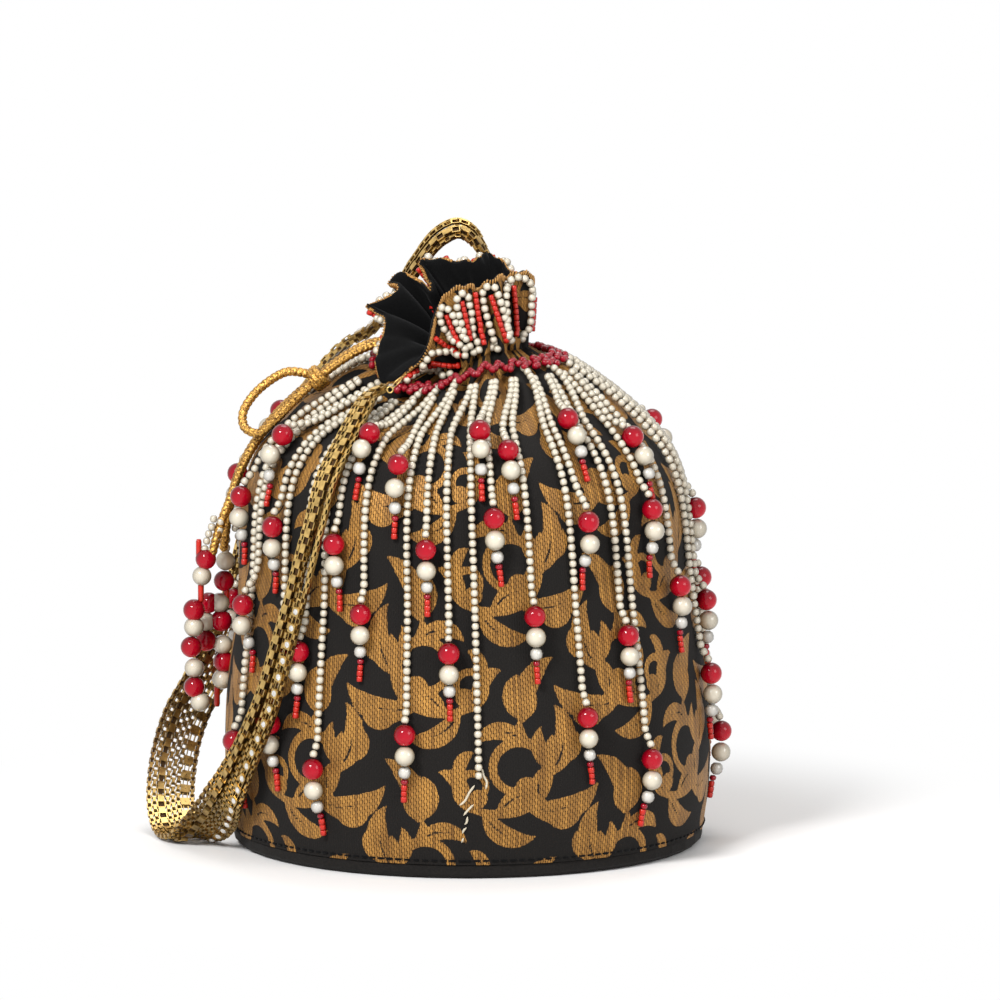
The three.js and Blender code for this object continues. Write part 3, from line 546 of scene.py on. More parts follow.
def bud(x, y, half):
    return np.array([[x, y, half, 0], [x + 0.5, y, half, 0]])


def acanthus():
    """One unit: a scroll and a tendril with their leaves, and two loose sprigs."""
    scroll = stroke(-46, -20, -12, 118, 400, 2.8, "stem", 1.5, 36)
    tendril = stroke(-46, -20, 168, 50, -330, 2.1, "stem", 1.4, 22)
    gold = [scroll, bud(*scroll[-1, :2], 5.4), tendril, bud(*tendril[-1, :2], 4.2)]
    veins = []
    for stem, share, away, length, turn, half, lobed in (
        (scroll, 0.04, -66, 34, 100, 5.0, False), (scroll, 0.23, -62, 44, 90, 6.2, True),
        (scroll, 0.42, -56, 40, 98, 5.8, True), (scroll, 0.6, -50, 28, 116, 4.2, False),
        (scroll, 0.1, 64, 30, -104, 4.6, False), (scroll, 0.3, 60, 15, -80, 3.2, False),
        (tendril, 0.22, -58, 24, 100, 3.8, False), (tendril, 0.48, 58, 18, -96, 3.2, False),
    ):
        x, y, _, heading = stem[int(share * (len(stem) - 1))]
        leaf = stroke(x, y, heading + away, length, turn, half)
        gold.append(leaf)
        if lobed:
            x, y, _, heading = leaf[3]
            gold.append(stroke(x, y, heading - 52, length / 2, 100, 0.56 * half, steps=9))
        if stem is scroll:
            x, y, _, heading = leaf[2]
            veins.append(stroke(x, y, heading + 5, length / 2, turn / 2, 0.6, "vein", steps=8))
    for x, y, heading, length, turn, half in (
        (22, -50, 36, 24, 84, 3.8), (22, -50, -24, 22, -96, 3.4), (22, -50, 84, 17, 20, 3.2),
        (36, -24, 84, 38, 74, 5.4), (36, -24, 34, 26, 104, 4.2), (36, -24, 140, 22, -110, 3.6),
        (38, -26, -70, 16, -90, 2.8),
    ):
        gold.append(stroke(x, y, heading, length, turn, half, steps=11))
    return gold, veins


print("one repeat of the figure is", round(DRAWN[0] * MOTIF, 1), "mm wide")

# %% [markdown]
# Two units fill one repeat, the second one mirrored and set half a step up. The distances
# are worked out once on a fine grid of one repeat, and the cloth then looks its own points
# up in that grid.

# %% Measure the distance to the strokes
def placed(strokes, middle, x, y, side, wider=1.0):
    return [
        np.stack([x + side * (s[:, 0] - middle[0]), y + s[:, 1] - middle[1], wider * s[:, 2]], 1)
        for s in strokes
    ]


def nearest_edge(u, v, strokes):
    best = np.full(u.shape, 99.0)
    width, height = DRAWN
    for s in strokes:
        for (ax, ay, ar), (bx, by, br) in zip(s[:-1], s[1:]):
            mx, my = (ax + bx) / 2, (ay + by) / 2
            du = (u - mx + width / 2) % width - width / 2 + mx - ax
            dv = (v - my + height / 2) % height - height / 2 + my - ay
            dx, dy = bx - ax, by - ay
            h = np.clip((du * dx + dv * dy) / max(dx * dx + dy * dy, 1e-9), 0, 1)
            best = np.minimum(best, np.hypot(du - h * dx, dv - h * dy) - ar - h * (br - ar))
    return best


GRID = (284, 260)
grid_u, grid_v = np.meshgrid(
    np.arange(GRID[0]) * DRAWN[0] / GRID[0], np.arange(GRID[1]) * DRAWN[1] / GRID[1]
)
gold, veins = acanthus()
middle = (-21.4, -17.3)
units = ((0.27 * DRAWN[0], 0.3 * DRAWN[1], 1), (0.77 * DRAWN[0], 0.8 * DRAWN[1], -1))
leaves = [s for x, y, side in units for s in placed(gold, middle, x, y, side, 1.1)]
lines = [s for x, y, side in units for s in placed(veins, middle, x, y, side)]
one_repeat = -np.maximum(
    nearest_edge(grid_u, grid_v, leaves), -nearest_edge(grid_u, grid_v, lines)
)
print("gold covers", round(float((one_repeat > 0).mean()), 2), "of the cloth")


def figure(u, v):
    """How far inside the gold figure a point lies, in mm; below 0 it is on the ground."""
    x, y = u / MOTIF * GRID[0] / DRAWN[0], v / MOTIF * GRID[1] / DRAWN[1]
    i, j = np.floor(x).astype(int), np.floor(y).astype(int)
    a, b = x - i, y - j
    pick = lambda di, dj: one_repeat[(j + dj) % GRID[1], (i + di) % GRID[0]]
    lower = pick(0, 0) * (1 - a) + pick(1, 0) * a
    upper = pick(0, 1) * (1 - a) + pick(1, 1) * a
    return (lower * (1 - b) + upper * b) * MOTIF

# %% [markdown]
# ## Brocade
# The ground is matt black cotton and the figure is floated in gold thread that runs up the
# cloth. Short dark gaps show where each thread dives back. Real threads lie about 0.5 mm
# apart, too fine for the picture, so they are drawn 1 mm apart. Gold thread has a soft
# metallic gleam, and the ground almost none.

# %% The brocade's finish
THREAD, FLOAT = 1.0, 2.3
GAP_SHARE, STAGGER = 0.58, 0.41
brocade, tree, shader = new_material("gold brocade on black cotton", Specular_IOR_Level=0.22)
cloth_map = add(tree, "ShaderNodeUVMap", uv_map="weave").outputs["UV"]
place = add(tree, "ShaderNodeSeparateXYZ", {0: cloth_map})
across, up = place.outputs["X"], place.outputs["Y"]
# The figure's edge wanders by a quarter of a millimetre, as floats end unevenly.
depth = add(tree, "ShaderNodeAttribute", attribute_name="figure").outputs["Fac"]
wander = add(tree, "ShaderNodeTexNoise", {"Vector": cloth_map, "Scale": 1.4, "Detail": 1.0})
ragged = add(tree, "ShaderNodeMath", {0: wander, 1: 0.5, 2: -0.25}, operation="MULTIPLY_ADD")
depth = add(tree, "ShaderNodeMath", {0: depth, 1: ragged}, operation="ADD")
inside = add(tree, "ShaderNodeMapRange", {"Value": depth, 1: -0.12, 2: 0.12})
# Each column of thread dives at its own height, and its sides are dark.
column = add(tree, "ShaderNodeMath", {0: across, 1: THREAD}, operation="DIVIDE")
number = add(tree, "ShaderNodeMath", {0: column}, operation="FLOOR")
beside = add(tree, "ShaderNodeMath", {0: column, 1: 0.5}, operation="PINGPONG")
start = add(tree, "ShaderNodeMath", {0: number, 1: STAGGER}, operation="MULTIPLY")
row = add(tree, "ShaderNodeMath", {0: up, 1: FLOAT}, operation="DIVIDE")
row = add(tree, "ShaderNodeMath", {0: row, 1: start}, operation="ADD")
row = add(tree, "ShaderNodeMath", {0: row}, operation="FRACT")
in_gap = add(tree, "ShaderNodeMath", {0: row, 1: GAP_SHARE}, operation="LESS_THAN")
edge = add(tree, "ShaderNodeMapRange", {"Value": beside, 1: 0.2, 2: 0.32, 3: 1, 4: 0})
gap = add(tree, "ShaderNodeMath", {0: in_gap, 1: edge}, operation="MULTIPLY")
# The gold differs from thread to thread, and in soft clouds where hands have rubbed it.
tint = add(tree, "ShaderNodeTexWhiteNoise", {"W": number}, noise_dimensions="1D")
cloud = add(tree, "ShaderNodeTexNoise", {"Vector": cloth_map, "Scale": 0.09, "Detail": 3.0})
worn = add(tree, "ShaderNodeMath", {0: cloud, 1: 0.9, 2: -0.2}, operation="MULTIPLY_ADD")
worn = add(tree, "ShaderNodeMath", {0: tint, 1: 0.5, 2: worn}, operation="MULTIPLY_ADD")
tones = {"Factor": worn, 6: colour("#73502A"), 7: colour("#CB954A")}
warm = add(tree, "ShaderNodeMix", tones, data_type="RGBA")
dark = add(tree, "ShaderNodeMath", {0: gap, 1: 0.92}, operation="MULTIPLY")
tones = {"Factor": dark, 6: warm, 7: colour("#24140A")}
gold = add(tree, "ShaderNodeMix", tones, data_type="RGBA")
weave = add(tree, "ShaderNodeTexNoise", {"Vector": cloth_map, "Scale": 2.2, "Detail": 2.0})
tones = {"Factor": weave, 6: colour("#0E0D0C"), 7: colour("#221F1D")}
ground = add(tree, "ShaderNodeMix", tones, data_type="RGBA")
dyed = add(tree, "ShaderNodeMix", {"Factor": inside, 6: ground, 7: gold}, data_type="RGBA")
gleam = add(tree, "ShaderNodeMath", {0: inside, 1: 0.35}, operation="MULTIPLY")
rough = add(tree, "ShaderNodeMath", {0: inside, 1: -0.42, 2: 0.92}, operation="MULTIPLY_ADD")
raised = add(tree, "ShaderNodeMath", {0: inside, 1: 0.8}, operation="MULTIPLY")
raised = add(tree, "ShaderNodeMath", {0: gap, 1: -0.6, 2: raised}, operation="MULTIPLY_ADD")
raised = add(tree, "ShaderNodeMath", {0: weave, 1: 0.35, 2: raised}, operation="MULTIPLY_ADD")
relief = add(tree, "ShaderNodeBump", {"Height": raised, "Strength": 0.7, "Distance": 0.0003})
feed(tree, shader, {
    "Base Color": dyed, "Metallic": gleam, "Roughness": rough, "Normal": relief,
})
print("made", brocade.name)

# %% [markdown]
# ## The pouch and the ruffle in brocade
# The cloth is a fine grid, so the gathers are real folds. Its outer face is dense enough to
# carry the figure, and a coarse inner face closes it, which gives the cloth a thickness.
# The pouch is made as two rings, and their edges are marked sharp so that the shading runs
# on without a line where they meet.
# The gold figure follows the flat cloth, so it squeezes together where the neck is drawn.

# %% Weave the cloth
CLOTH = 0.7


def face_normals(grid):
    round_way = np.roll(grid, -1, axis=1) - np.roll(grid, 1, axis=1)
    up_way = np.gradient(grid, axis=0)
    return unit(np.cross(round_way, up_way))


def cloth_shell(name, grid, heights, thick, finish, keep=8, with_figure=True):
    """A closed cloth from a grid of rings, with a coarser inner face."""
    rows, sides = grid.shape[:2]
    inner_rows = np.unique(np.linspace(0, rows - 1, keep).astype(int))[::-1]
    inner = (grid - thick * face_normals(grid))[inner_rows]
    rings = np.concatenate([grid, inner])
    faces = ring_faces(len(rings), sides, closed=True)
    piece = add_piece(name, rings.reshape(-1, 3), faces, finish)
    across = np.arange(sides + 1) * 2 * np.pi / sides * BELLY_RADIUS
    ups = np.concatenate([heights, heights[inner_rows]])
    mesh = piece.data
    edges = np.array([edge.vertices[:] for edge in mesh.edges]) // sides
    on_border = (edges[:, 0] == edges[:, 1]) & np.isin(edges[:, 0], (0, rows - 1))
    store(mesh, "sharp_edge", "BOOLEAN", "EDGE", on_border)
    layer = mesh.uv_layers.new(name="weave")
    ring, side = np.divmod(np.arange(len(faces)), sides)
    after = (ring + 1) % len(rings)
    u = np.stack([across[side], across[side + 1], across[side + 1], across[side]], 1)
    v = np.stack([ups[ring], ups[ring], ups[after], ups[after]], 1)
    layer.data.foreach_set("uv", np.stack([u, v], -1).astype(np.float32).ravel())
    if with_figure:
        u_point, v_point = np.meshgrid(across[:-1], ups)
        store(mesh, "figure", "FLOAT", "POINT", figure(u_point, v_point).astype(np.float32))
    return piece


WALL_COLUMNS = 800
angles = np.arange(WALL_COLUMNS) * 2 * np.pi / WALL_COLUMNS
HALVES = {"pouch_lower": (0, 0.5 * WALL_LENGTH), "pouch_upper": (0.5 * WALL_LENGTH, WALL_LENGTH)}
for name, (low, high) in HALVES.items():
    wall_heights = np.linspace(low, high, 106)
    wall_grid = wall(wall_heights[:, None], angles[None, :])
    half = cloth_shell(name, wall_grid, wall_heights, CLOTH, brocade)
    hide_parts("brocade_shell")

RUFFLE_CLOTH = 42.0
RUFFLE_COLUMNS = 720
ruffle_shares = np.linspace(0, 1, 27)
ruffle_columns = np.arange(RUFFLE_COLUMNS) * COLUMNS / RUFFLE_COLUMNS
ruffle_grid = ruffle(ruffle_shares[:, None], ruffle_columns[None, :])
ruffle_heights = WALL_LENGTH + RUFFLE_CLOTH * ruffle_shares
ruff = cloth_shell("ruffle_brocade", ruffle_grid, ruffle_heights, CLOTH, brocade)
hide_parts("brocade_shell")

# %% [markdown]
# ## The black lining
# The mouth is lined with a matt black cotton that swallows light. It stands just inside the
# brocade, turns in at the neck and closes the throat where the cord pulls it tight. Inside
# the pouch it follows the wall down to the floor.

# %% Line the bag
lining_cotton, tree, shader, nap = mottled(
    "matt black cotton lining", "#030303", "#0B0B0C", 900.0, 3.0, Roughness=0.95,
    Specular_IOR_Level=0.15, Sheen_Weight=0.04, Sheen_Roughness=0.5,
)
fuzz = add(tree, "ShaderNodeBump", {"Height": nap, "Strength": 0.35, "Distance": 0.0003})
feed(tree, shader, {"Normal": fuzz})

LINING_COLUMNS = 480
lining_angles = np.arange(LINING_COLUMNS) * 2 * np.pi / LINING_COLUMNS
lining_columns = np.arange(LINING_COLUMNS) * COLUMNS / LINING_COLUMNS
upper = ruffle(np.linspace(0.04, 1.0, 22)[:, None], lining_columns[None, :])
upper = upper - (CLOTH + 0.25) * face_normals(upper)
LINING_THROAT = 8.0
throat_heights = np.array([-2.0, -1.0, 0.6, 2.2])
pleats = 1 - 0.16 * (1 + np.cos(PLEATS * lining_angles)) / 2
throat = np.stack(
    [
        np.stack(
            [
                NECK_OFFSET + LINING_THROAT * pleats * np.sin(lining_angles),
                -LINING_THROAT * pleats * np.cos(lining_angles),
                NECK_HEIGHT + rise - dip(lining_angles, NECK_RADIUS),
            ],
            1,
        )
        for rise in throat_heights
    ]
)
lower_heights = np.linspace(1.0, WALL_LENGTH - 10, 14)
lower = wall(lower_heights[:, None], lining_angles[None, :], lift=-2.2, folds=0.6)
floor_ring = lower[:1] * [0.97, 0.97, 0] + [0, 0, SEAM_HEIGHT + 0.5]
lining_grid = np.concatenate([floor_ring, lower, throat, upper])
heights = lengths_along(lining_grid[:, 0])
lining = cloth_shell(
    "lining_cloth", lining_grid, heights, 0.5, lining_cotton, 24, False
)
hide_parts("lining")

# %% [markdown]
# ## Copies on points
# Beads, links, stones and stitches all repeat one small shape. A Geometry Nodes tree puts a
# copy on every point, turned so that its Z axis runs along the thread and its X axis faces
# away from the cloth. The inputs give the shape, its size, how uneven the copies are and
# the seed for that.

# %% The tree of copies
def make_copies_tree():
    tree = bpy.data.node_groups.new("copies on points", "GeometryNodeTree")
    for label, kind in (
        ("Places", "NodeSocketGeometry"), ("Shape", "NodeSocketObject"),
        ("Diameter", "NodeSocketFloat"), ("Uneven", "NodeSocketFloat"),
        ("Seed", "NodeSocketInt"), ("Finish", "NodeSocketMaterial"),
    ):
        tree.interface.new_socket(label, in_out="INPUT", socket_type=kind)
    tree.interface.new_socket("Copies", in_out="OUTPUT", socket_type="NodeSocketGeometry")
    given = add(tree, "NodeGroupInput").outputs
    along, out, size = (
        add(tree, "GeometryNodeInputNamedAttribute", {"Name": label}, data_type="FLOAT_VECTOR")
        for label in ("along", "out", "size")
    )
    turned = add(
        tree, "FunctionNodeAxesToRotation", {"Primary Axis": along, "Secondary Axis": out},
        primary_axis="Z", secondary_axis="X",
    )
    least, most = (
        add(tree, "ShaderNodeMath", {0: 1.0, 1: given["Uneven"]}, operation=operation)
        for operation in ("SUBTRACT", "ADD")
    )
    chance = {2: least, 3: most, "Seed": given["Seed"]}
    chance = add(tree, "FunctionNodeRandomValue", chance, data_type="FLOAT")
    width = add(tree, "ShaderNodeMath", {0: chance, 1: given["Diameter"]}, operation="MULTIPLY")
    scale = add(tree, "ShaderNodeVectorMath", {0: size, "Scale": width}, operation="SCALE")
    shape = add(tree, "GeometryNodeObjectInfo", {"Object": given["Shape"]})
    copies = add(tree, "GeometryNodeInstanceOnPoints", {
        "Points": given["Places"], "Instance": shape.outputs["Geometry"],
        "Rotation": turned, "Scale": scale,
    })
    real = add(tree, "GeometryNodeRealizeInstances", {0: copies})
    done = add(tree, "GeometryNodeSetMaterial", {0: real, "Material": given["Finish"]})
    add(tree, "NodeGroupOutput", {0: done})
    return tree


copies_tree = make_copies_tree()
print(copies_tree.name, "takes", [item.name for item in copies_tree.interface.items_tree])

# %% [markdown]
# The copies are made real at once and the tree is taken off again, so each piece is a plain
# mesh. The small shapes themselves are removed at the end.

# %% Make copies of a shape
def template(name, points, faces, smooth=True):
    """A small shape of diameter 1, which the copies share."""
    mesh = bpy.data.meshes.new(name)
    mesh.from_pydata([list(map(float, p)) for p in points], [], [list(map(int, f)) for f in faces])
    mesh.polygons.foreach_set("use_smooth", [smooth] * len(mesh.polygons))
    return new_object(name, mesh)


def copies(name, shape, places, diameter, finish, slot, uneven, seed):
    """Places are rows of (point, along, out, size), in mm and as directions."""
    points, along, out, size = (np.asarray(part, float).reshape(-1, 3) for part in zip(*places))
    mesh = bpy.data.meshes.new(name + " places")
    mesh.from_pydata((points * MM).tolist(), [], [])
    for label, values in (("along", along), ("out", out), ("size", size)):
        store(mesh, label, "FLOAT_VECTOR", "POINT", values.astype(np.float32))
    spots = new_object(name + " places", mesh)
    spread = spots.modifiers.new("copies", "NODES")
    spread.node_group = copies_tree
    ids = {item.name: item.identifier for item in copies_tree.interface.items_tree}
    for label, value in (
        ("Shape", shape), ("Diameter", diameter * MM), ("Uneven", uneven), ("Seed", seed),
        ("Finish", finish),
    ):
        spread[ids[label]] = value
    graph = bpy.context.evaluated_depsgraph_get()
    result = bpy.data.meshes.new_from_object(spots.evaluated_get(graph))
    result.name = name
    bpy.data.objects.remove(spots)
    return show(name, result)

# %% [markdown]
# ## Bead shapes
# A bead is a ball flattened at each end, where the thread goes in. A bugle is a short
# cut tube. Both have few faces, because thousands of copies are made, and smooth shading
# hides the facets.

# %% Make the bead shapes
def turned_shape(name, outline, sides):
    """A closed shape from rows of (radius, height), with a point at each end."""
    angle = np.arange(sides) * 2 * np.pi / sides
    rings = [
        np.stack([r * np.cos(angle), r * np.sin(angle), np.full(sides, z)], 1)
        for r, z in outline[1:-1]
    ]
    points = np.vstack(rings + [[[0, 0, outline[0][1]]], [[0, 0, outline[-1][1]]]])
    faces = ring_faces(len(rings), sides).tolist() + end_fans(sides, len(rings) * sides)
    return template(name, points, faces)


def ball_outline(rings, fullness=1.0):
    """A ball's half outline. Fullness under 1 swells it to a barrel."""
    angle = np.linspace(-np.pi / 2, np.pi / 2, rings + 1)
    rows = [
        (0.5 * math.cos(a) ** fullness, 0.5 * math.copysign(abs(math.sin(a)) ** fullness, a))
        for a in angle
    ]
    rows[0] = (0, rows[1][1])
    rows[-1] = (0, rows[-2][1])
    return rows


small_ball = turned_shape("small ball", ball_outline(6, 0.9), 10)
large_ball = turned_shape("large ball", ball_outline(11), 20)
bugle = turned_shape(
    "bugle", [(0, -0.5), (0.36, -0.5), (0.5, -0.38), (0.5, 0.38), (0.36, 0.5), (0, 0.5)], 8
)
print("shapes:", small_ball.name, large_ball.name, bugle.name)

# %% [markdown]
# ## Pearl, red glass and coral
# The pearls are glass dipped in pearl essence: cream, glossy, and a little darker and
# greyer towards the edge. The red balls are dyed glass, and a painted glow in their colour
# stands for the light they gather on the side away from the lamp. The small tubes are opaque
# coral-red glass with a plain gloss.

# %% Bead finishes
AWAY_FROM_LAMP = (0.45, -0.35, -0.82)


# Grey patches some millimetres wide lie under the gloss.
PATCHES = 240.0


def layered_gloss(name, middle, edge, roughness, shine, blend, spots, coat=0.0, painted_glow_colour=None):
    made, tree, shader = new_material(
        name, Roughness=roughness, Specular_IOR_Level=shine, Coat_Weight=coat, Coat_Roughness=0.08
    )
    rim_share = add(tree, "ShaderNodeLayerWeight", {"Blend": blend}).outputs["Facing"]
    tones = {"Factor": rim_share, 6: colour(middle), 7: colour(edge)}
    tone = add(tree, "ShaderNodeMix", tones, data_type="RGBA")
    place = add(tree, "ShaderNodeTexCoord").outputs["Object"]
    patch = add(tree, "ShaderNodeTexNoise", {"Vector": place, "Scale": PATCHES})
    share = add(tree, "ShaderNodeMath", {0: patch, 1: spots}, operation="MULTIPLY")
    tones = {"Factor": share, 6: tone, 7: colour(edge)}
    tone = add(tree, "ShaderNodeMix", tones, data_type="RGBA")
    # Painted glow: the colour turns a brighter red on the side away from the lamp.
    if painted_glow_colour:
        normal = add(tree, "ShaderNodeNewGeometry").outputs["Normal"]
        away = {0: normal, 1: AWAY_FROM_LAMP}
        away = add(tree, "ShaderNodeVectorMath", away, operation="DOT_PRODUCT")
        painted_glow_share = add(tree, "ShaderNodeMapRange", {"Value": away, 1: -0.5, 2: 0.9})
        tones = {"Factor": painted_glow_share, 6: tone, 7: colour(painted_glow_colour)}
        tone = add(tree, "ShaderNodeMix", tones, data_type="RGBA")
    feed(tree, shader, {"Base Color": tone})
    return made


pearl = layered_gloss("pearl-dipped glass", "#E8DFCB", "#66593F", 0.22, 0.6, 0.56, 0.25, 0.6)
white_pearl = layered_gloss("white pearl glass", "#DEDAD2", "#5E5A52", 0.2, 0.6, 0.56, 0.25, 0.6)
# The red glass gets the painted glow on its side away from the lamp.
red_glass = layered_gloss(
    "dyed red glass with painted light", "#96001A", "#4C000A", 0.06, 0.3, 0.5, 0.2, painted_glow_colour="#BE0824"
)
collar_glass = layered_gloss("dark red seed glass", "#A60C24", "#5E0410", 0.14, 0.45, 0.5, 0.2)
coral_glass = layered_gloss("opaque coral glass", "#D02A1C", "#8E160C", 0.26, 0.4, 0.5, 0.3)
thread = mottled("cream sewing thread", "#B8AC92", "#E2DAC6", 2500.0, Roughness=0.75)[0]
print("bead finishes made")

# %% [markdown]
# ## The fringe
# Each string leaves the collar, spreads to its own place and ends in a drop: a red ball, a
# pearl, a white seed pearl, a red seed and a tail of coral tubes. The angles and lengths
# of the front were read off the photograph. One string has lost its drop. A line is laid
# over the gathers for each string, and the beads are threaded on it at their own widths.

# %% The strings' places
BROKEN = 2.6
FRONT_FRINGE = [
    [-73.5, 70], [-66, 159], [-63, 108], [-60, 46], [-54, 77], [-50.6, 149], [-42.5, 121],
    [-36.8, 163], [-33, 80], [-28.6, 39], [-25.4, 105], [-16.7, 52], [-14, 148], [-8.9, 80],
    [-3.8, 118], [BROKEN, 164], [5.3, 38], [8, 69], [13.4, 45], [16.9, 105], [28.4, 143],
    [31.6, 72], [37, 33], [41.7, 115], [45.8, 161], [55, 71], [59, 45], [64.5, 101],
    [78, 137], [88, 112], [91.4, 78], [94.8, 163], [98.5, 106],
]
# The back that the photograph hides has even places and the front's four lengths.
BACK_COUNT, BACK_FROM, BACK_TO = 24, 104.5, 261
BACK_FRINGE = [
    [angle, (152, 44, 112, 74)[k % 4] + 7 * math.sin(2.4 * k)]
    for k, angle in enumerate(np.linspace(BACK_FROM, BACK_TO, BACK_COUNT).tolist())
]
FAN_LENGTH = 36.0
BALL, PEARL, SEED, GRAIN = 8.0, 7.4, 4.8, 3.0
# Within this many degrees of a longer string, a drop lies over it and is raised.
CROWDED, RAISED = 3.3, 2.8
front_tops = np.linspace(-73.5, 98.5, len(FRONT_FRINGE))
# Two strings leave each point of the collar, and the second starts under the first.
PAIRED, TUCKED = 0.72, 7.5
strings = []
for k, (angle, length) in enumerate(FRONT_FRINGE):
    partner = min(k - 1 if k % 2 else k + 1, len(FRONT_FRINGE) - 1)
    top = front_tops[k] + PAIRED * (front_tops[partner] - front_tops[k]) / 2
    tucked = k % 2 if length > FRONT_FRINGE[partner][1] else (k % 2 or partner == k + 1)
    strings.append((angle, length, top, True, TUCKED if tucked else 0.0))
for k, (angle, length) in enumerate(BACK_FRINGE):
    strings.append((angle, length, angle, False, TUCKED * (k % 2)))
print(len(strings), "strings")


def string_points(lengths, top, angle, lift):
    turned = top + (angle - top) * smooth_step(lengths, 0, FAN_LENGTH)
    return wall(COLLAR_LENGTH - lengths, np.radians(turned), lift, folds=0)


def with_axes(points):
    """The direction of the thread at each point, and the direction away from the bag's axis."""
    along = unit(np.gradient(points, axis=0))
    out = unit(points * [1, 1, 0] + [0, 0, 1e-6])
    return along, unit(out - along * (out * along).sum(1, keepdims=True))


def plain_rows(spots, along, out):
    return [(*row, (1, 1, 1)) for row in zip(spots, along, out)]


# %% [markdown]
# The loop below threads every string. Rows of places are gathered for each kind of bead,
# and one piece is made of each kind, because they share a finish.

# %% Thread the strings
# A drop's parts from the top down: kind, width and height.
DROP = [
    ("red", BALL, BALL), ("pearl", PEARL, PEARL), ("white", SEED, SEED), ("seed", 2.7, 2.3),
    ("coral", 2.3, 2.1), ("coral", 2.3, 2.1), ("coral", 2.3, 2.1),
]
# The millimetres over which a string climbs onto its neighbour and then to its ball's middle.
CLIMB, DROP_CLIMB = 14, 7
# Below the ball's place a drop sways to one side, and a raised one comes down to the cloth.
SWAY_FROM, SWAY_TO, MOST_SWAY = 6, 24, 2.2
LIE_FROM, LIE_TO = 9, 16
LOWEST_BEAD = 2.5
rng = np.random.default_rng(7)
beads = {kind: [] for kind in ("front", "back", "red", "pearl", "white", "seed", "coral")}
for angle, ball_length, top, in_front, tucked in strings:
    crossed = any(
        0 < min(abs(a - angle), 360 - abs(a - angle)) < CROWDED and n > ball_length
        for a, n, *_ in strings
    )
    raised = RAISED if crossed else 0.0
    broken = angle == BROKEN
    end = ball_length - (0 if broken else BALL / 2)
    lengths = np.arange(tucked, end + 0.25, 0.5)
    lift = GRAIN / 2 + 0.15 + raised * smooth_step(lengths, end - CLIMB, end)
    if not broken:
        lift = lift + (BALL / 2 - GRAIN / 2) * smooth_step(lengths, end - DROP_CLIMB, end)
    line = string_points(lengths, top, angle, lift)
    spots, _ = spaced(line, GRAIN + 0.04, GRAIN / 2, lengths_along(line)[-1] - GRAIN / 2)
    beads["front" if in_front else "back"] += plain_rows(spots, *with_axes(spots))
    if broken:
        continue
    sway = rng.uniform(-MOST_SWAY, MOST_SWAY)
    at = ball_length
    for kind, width, tall in DROP:
        at = at + (0 if kind == "red" else tall / 2)
        ends = np.array([at - 0.5, at, at + 0.5])
        swing = sway * smooth_step(ends, ball_length + SWAY_FROM, ball_length + SWAY_TO)
        turned = angle + np.degrees(swing / BELLY_RADIUS)
        lying = smooth_step(ends, ball_length + LIE_FROM, ball_length + LIE_TO)
        lifts = width / 2 + 0.3 + raised * (1 - lying)
        three = wall(COLLAR_LENGTH - ends, np.radians(turned), lifts, folds=0)
        three[:, 2] += max(0, LOWEST_BEAD - three[1][2])
        along, out = with_axes(three)
        beads[kind].append((three[1], along[1], out[1], (1, 1, tall / width)))
        at = at + tall / 2
print({kind: len(rows) for kind, rows in beads.items()})

# %% Make the fringe
fringe_nodes = nodes_named("fringe_")
for seed, (name, shape, kind, width, finish, slot, uneven) in enumerate((
    ("fringe_pearls_front", small_ball, "front", GRAIN, pearl, "pearl_beads", 0.05),
    ("fringe_pearls_back", small_ball, "back", GRAIN, pearl, "pearl_beads", 0.05),
    ("drop_balls", large_ball, "red", BALL, red_glass, "red_beads", 0.03),
    ("drop_pearls", large_ball, "pearl", PEARL, pearl, "pearl_beads", 0.03),
    ("drop_seed_pearls", small_ball, "white", SEED, white_pearl, "pearl_beads", 0.04),
    ("drop_red_seeds", small_ball, "seed", 2.7, collar_glass, "red_beads", 0.05),
    ("drop_coral_tails", bugle, "coral", 2.3, coral_glass, "coral_beads", 0.06),
), start=3):
    piece = copies(name, shape, beads[kind], width, finish, slot, uneven, seed)
    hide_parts(*fringe_nodes)

# %% [markdown]
# ## The collar
# A zigzag of dark red seed beads hides the tops of the strings. It winds round the neck on
# the gathers, and the strings hang from its lower points.

# %% Thread the collar
COLLAR_BEAD, ZIGZAG = 2.8, 3.6
turns = np.linspace(0, 360, 2400, endpoint=False)
teeth = round(len(front_tops) * 360 / (front_tops[-1] - front_tops[0]) / 2)
wave = 2 * np.abs(2 * ((turns * teeth / 360) % 1) - 1) - 1
collar_line = wall(
    COLLAR_LENGTH + 1.2 + ZIGZAG * wave, np.radians(turns), COLLAR_BEAD / 2 + 1.0, folds=0.2
)
spots, _ = spaced(np.vstack([collar_line, collar_line[:1]]), COLLAR_BEAD)
spots = spots[:-1]
rows = plain_rows(spots, *with_axes(spots))
collar = copies("collar_beads", small_ball, rows, COLLAR_BEAD, collar_glass, "red_beads", 0.06, 10)
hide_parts(*fringe_nodes)

# %% [markdown]
# ## Trim on the ruffle
# On the ruffle's outer face pearls are sewn in narrow arches, each with a bar of coral tubes
# inside. A bead's place is given by its column and its share of the way to the rim, and it
# is pushed off the cloth by half its own width.

# %% Arches at the back
def on_ruffle(share, column, lift):
    """A point off the ruffle's outer face, and the direction away from the cloth there."""
    share, column = np.asarray(share, float), np.asarray(column, float)
    point = ruffle(share, column)
    right = ruffle(share, column + 0.12) - ruffle(share, column - 0.12)
    rise = ruffle(np.minimum(share + 0.02, 1), column) - ruffle(share - 0.02, column)
    normal = unit(np.cross(right, rise))
    return point + lift * normal, normal


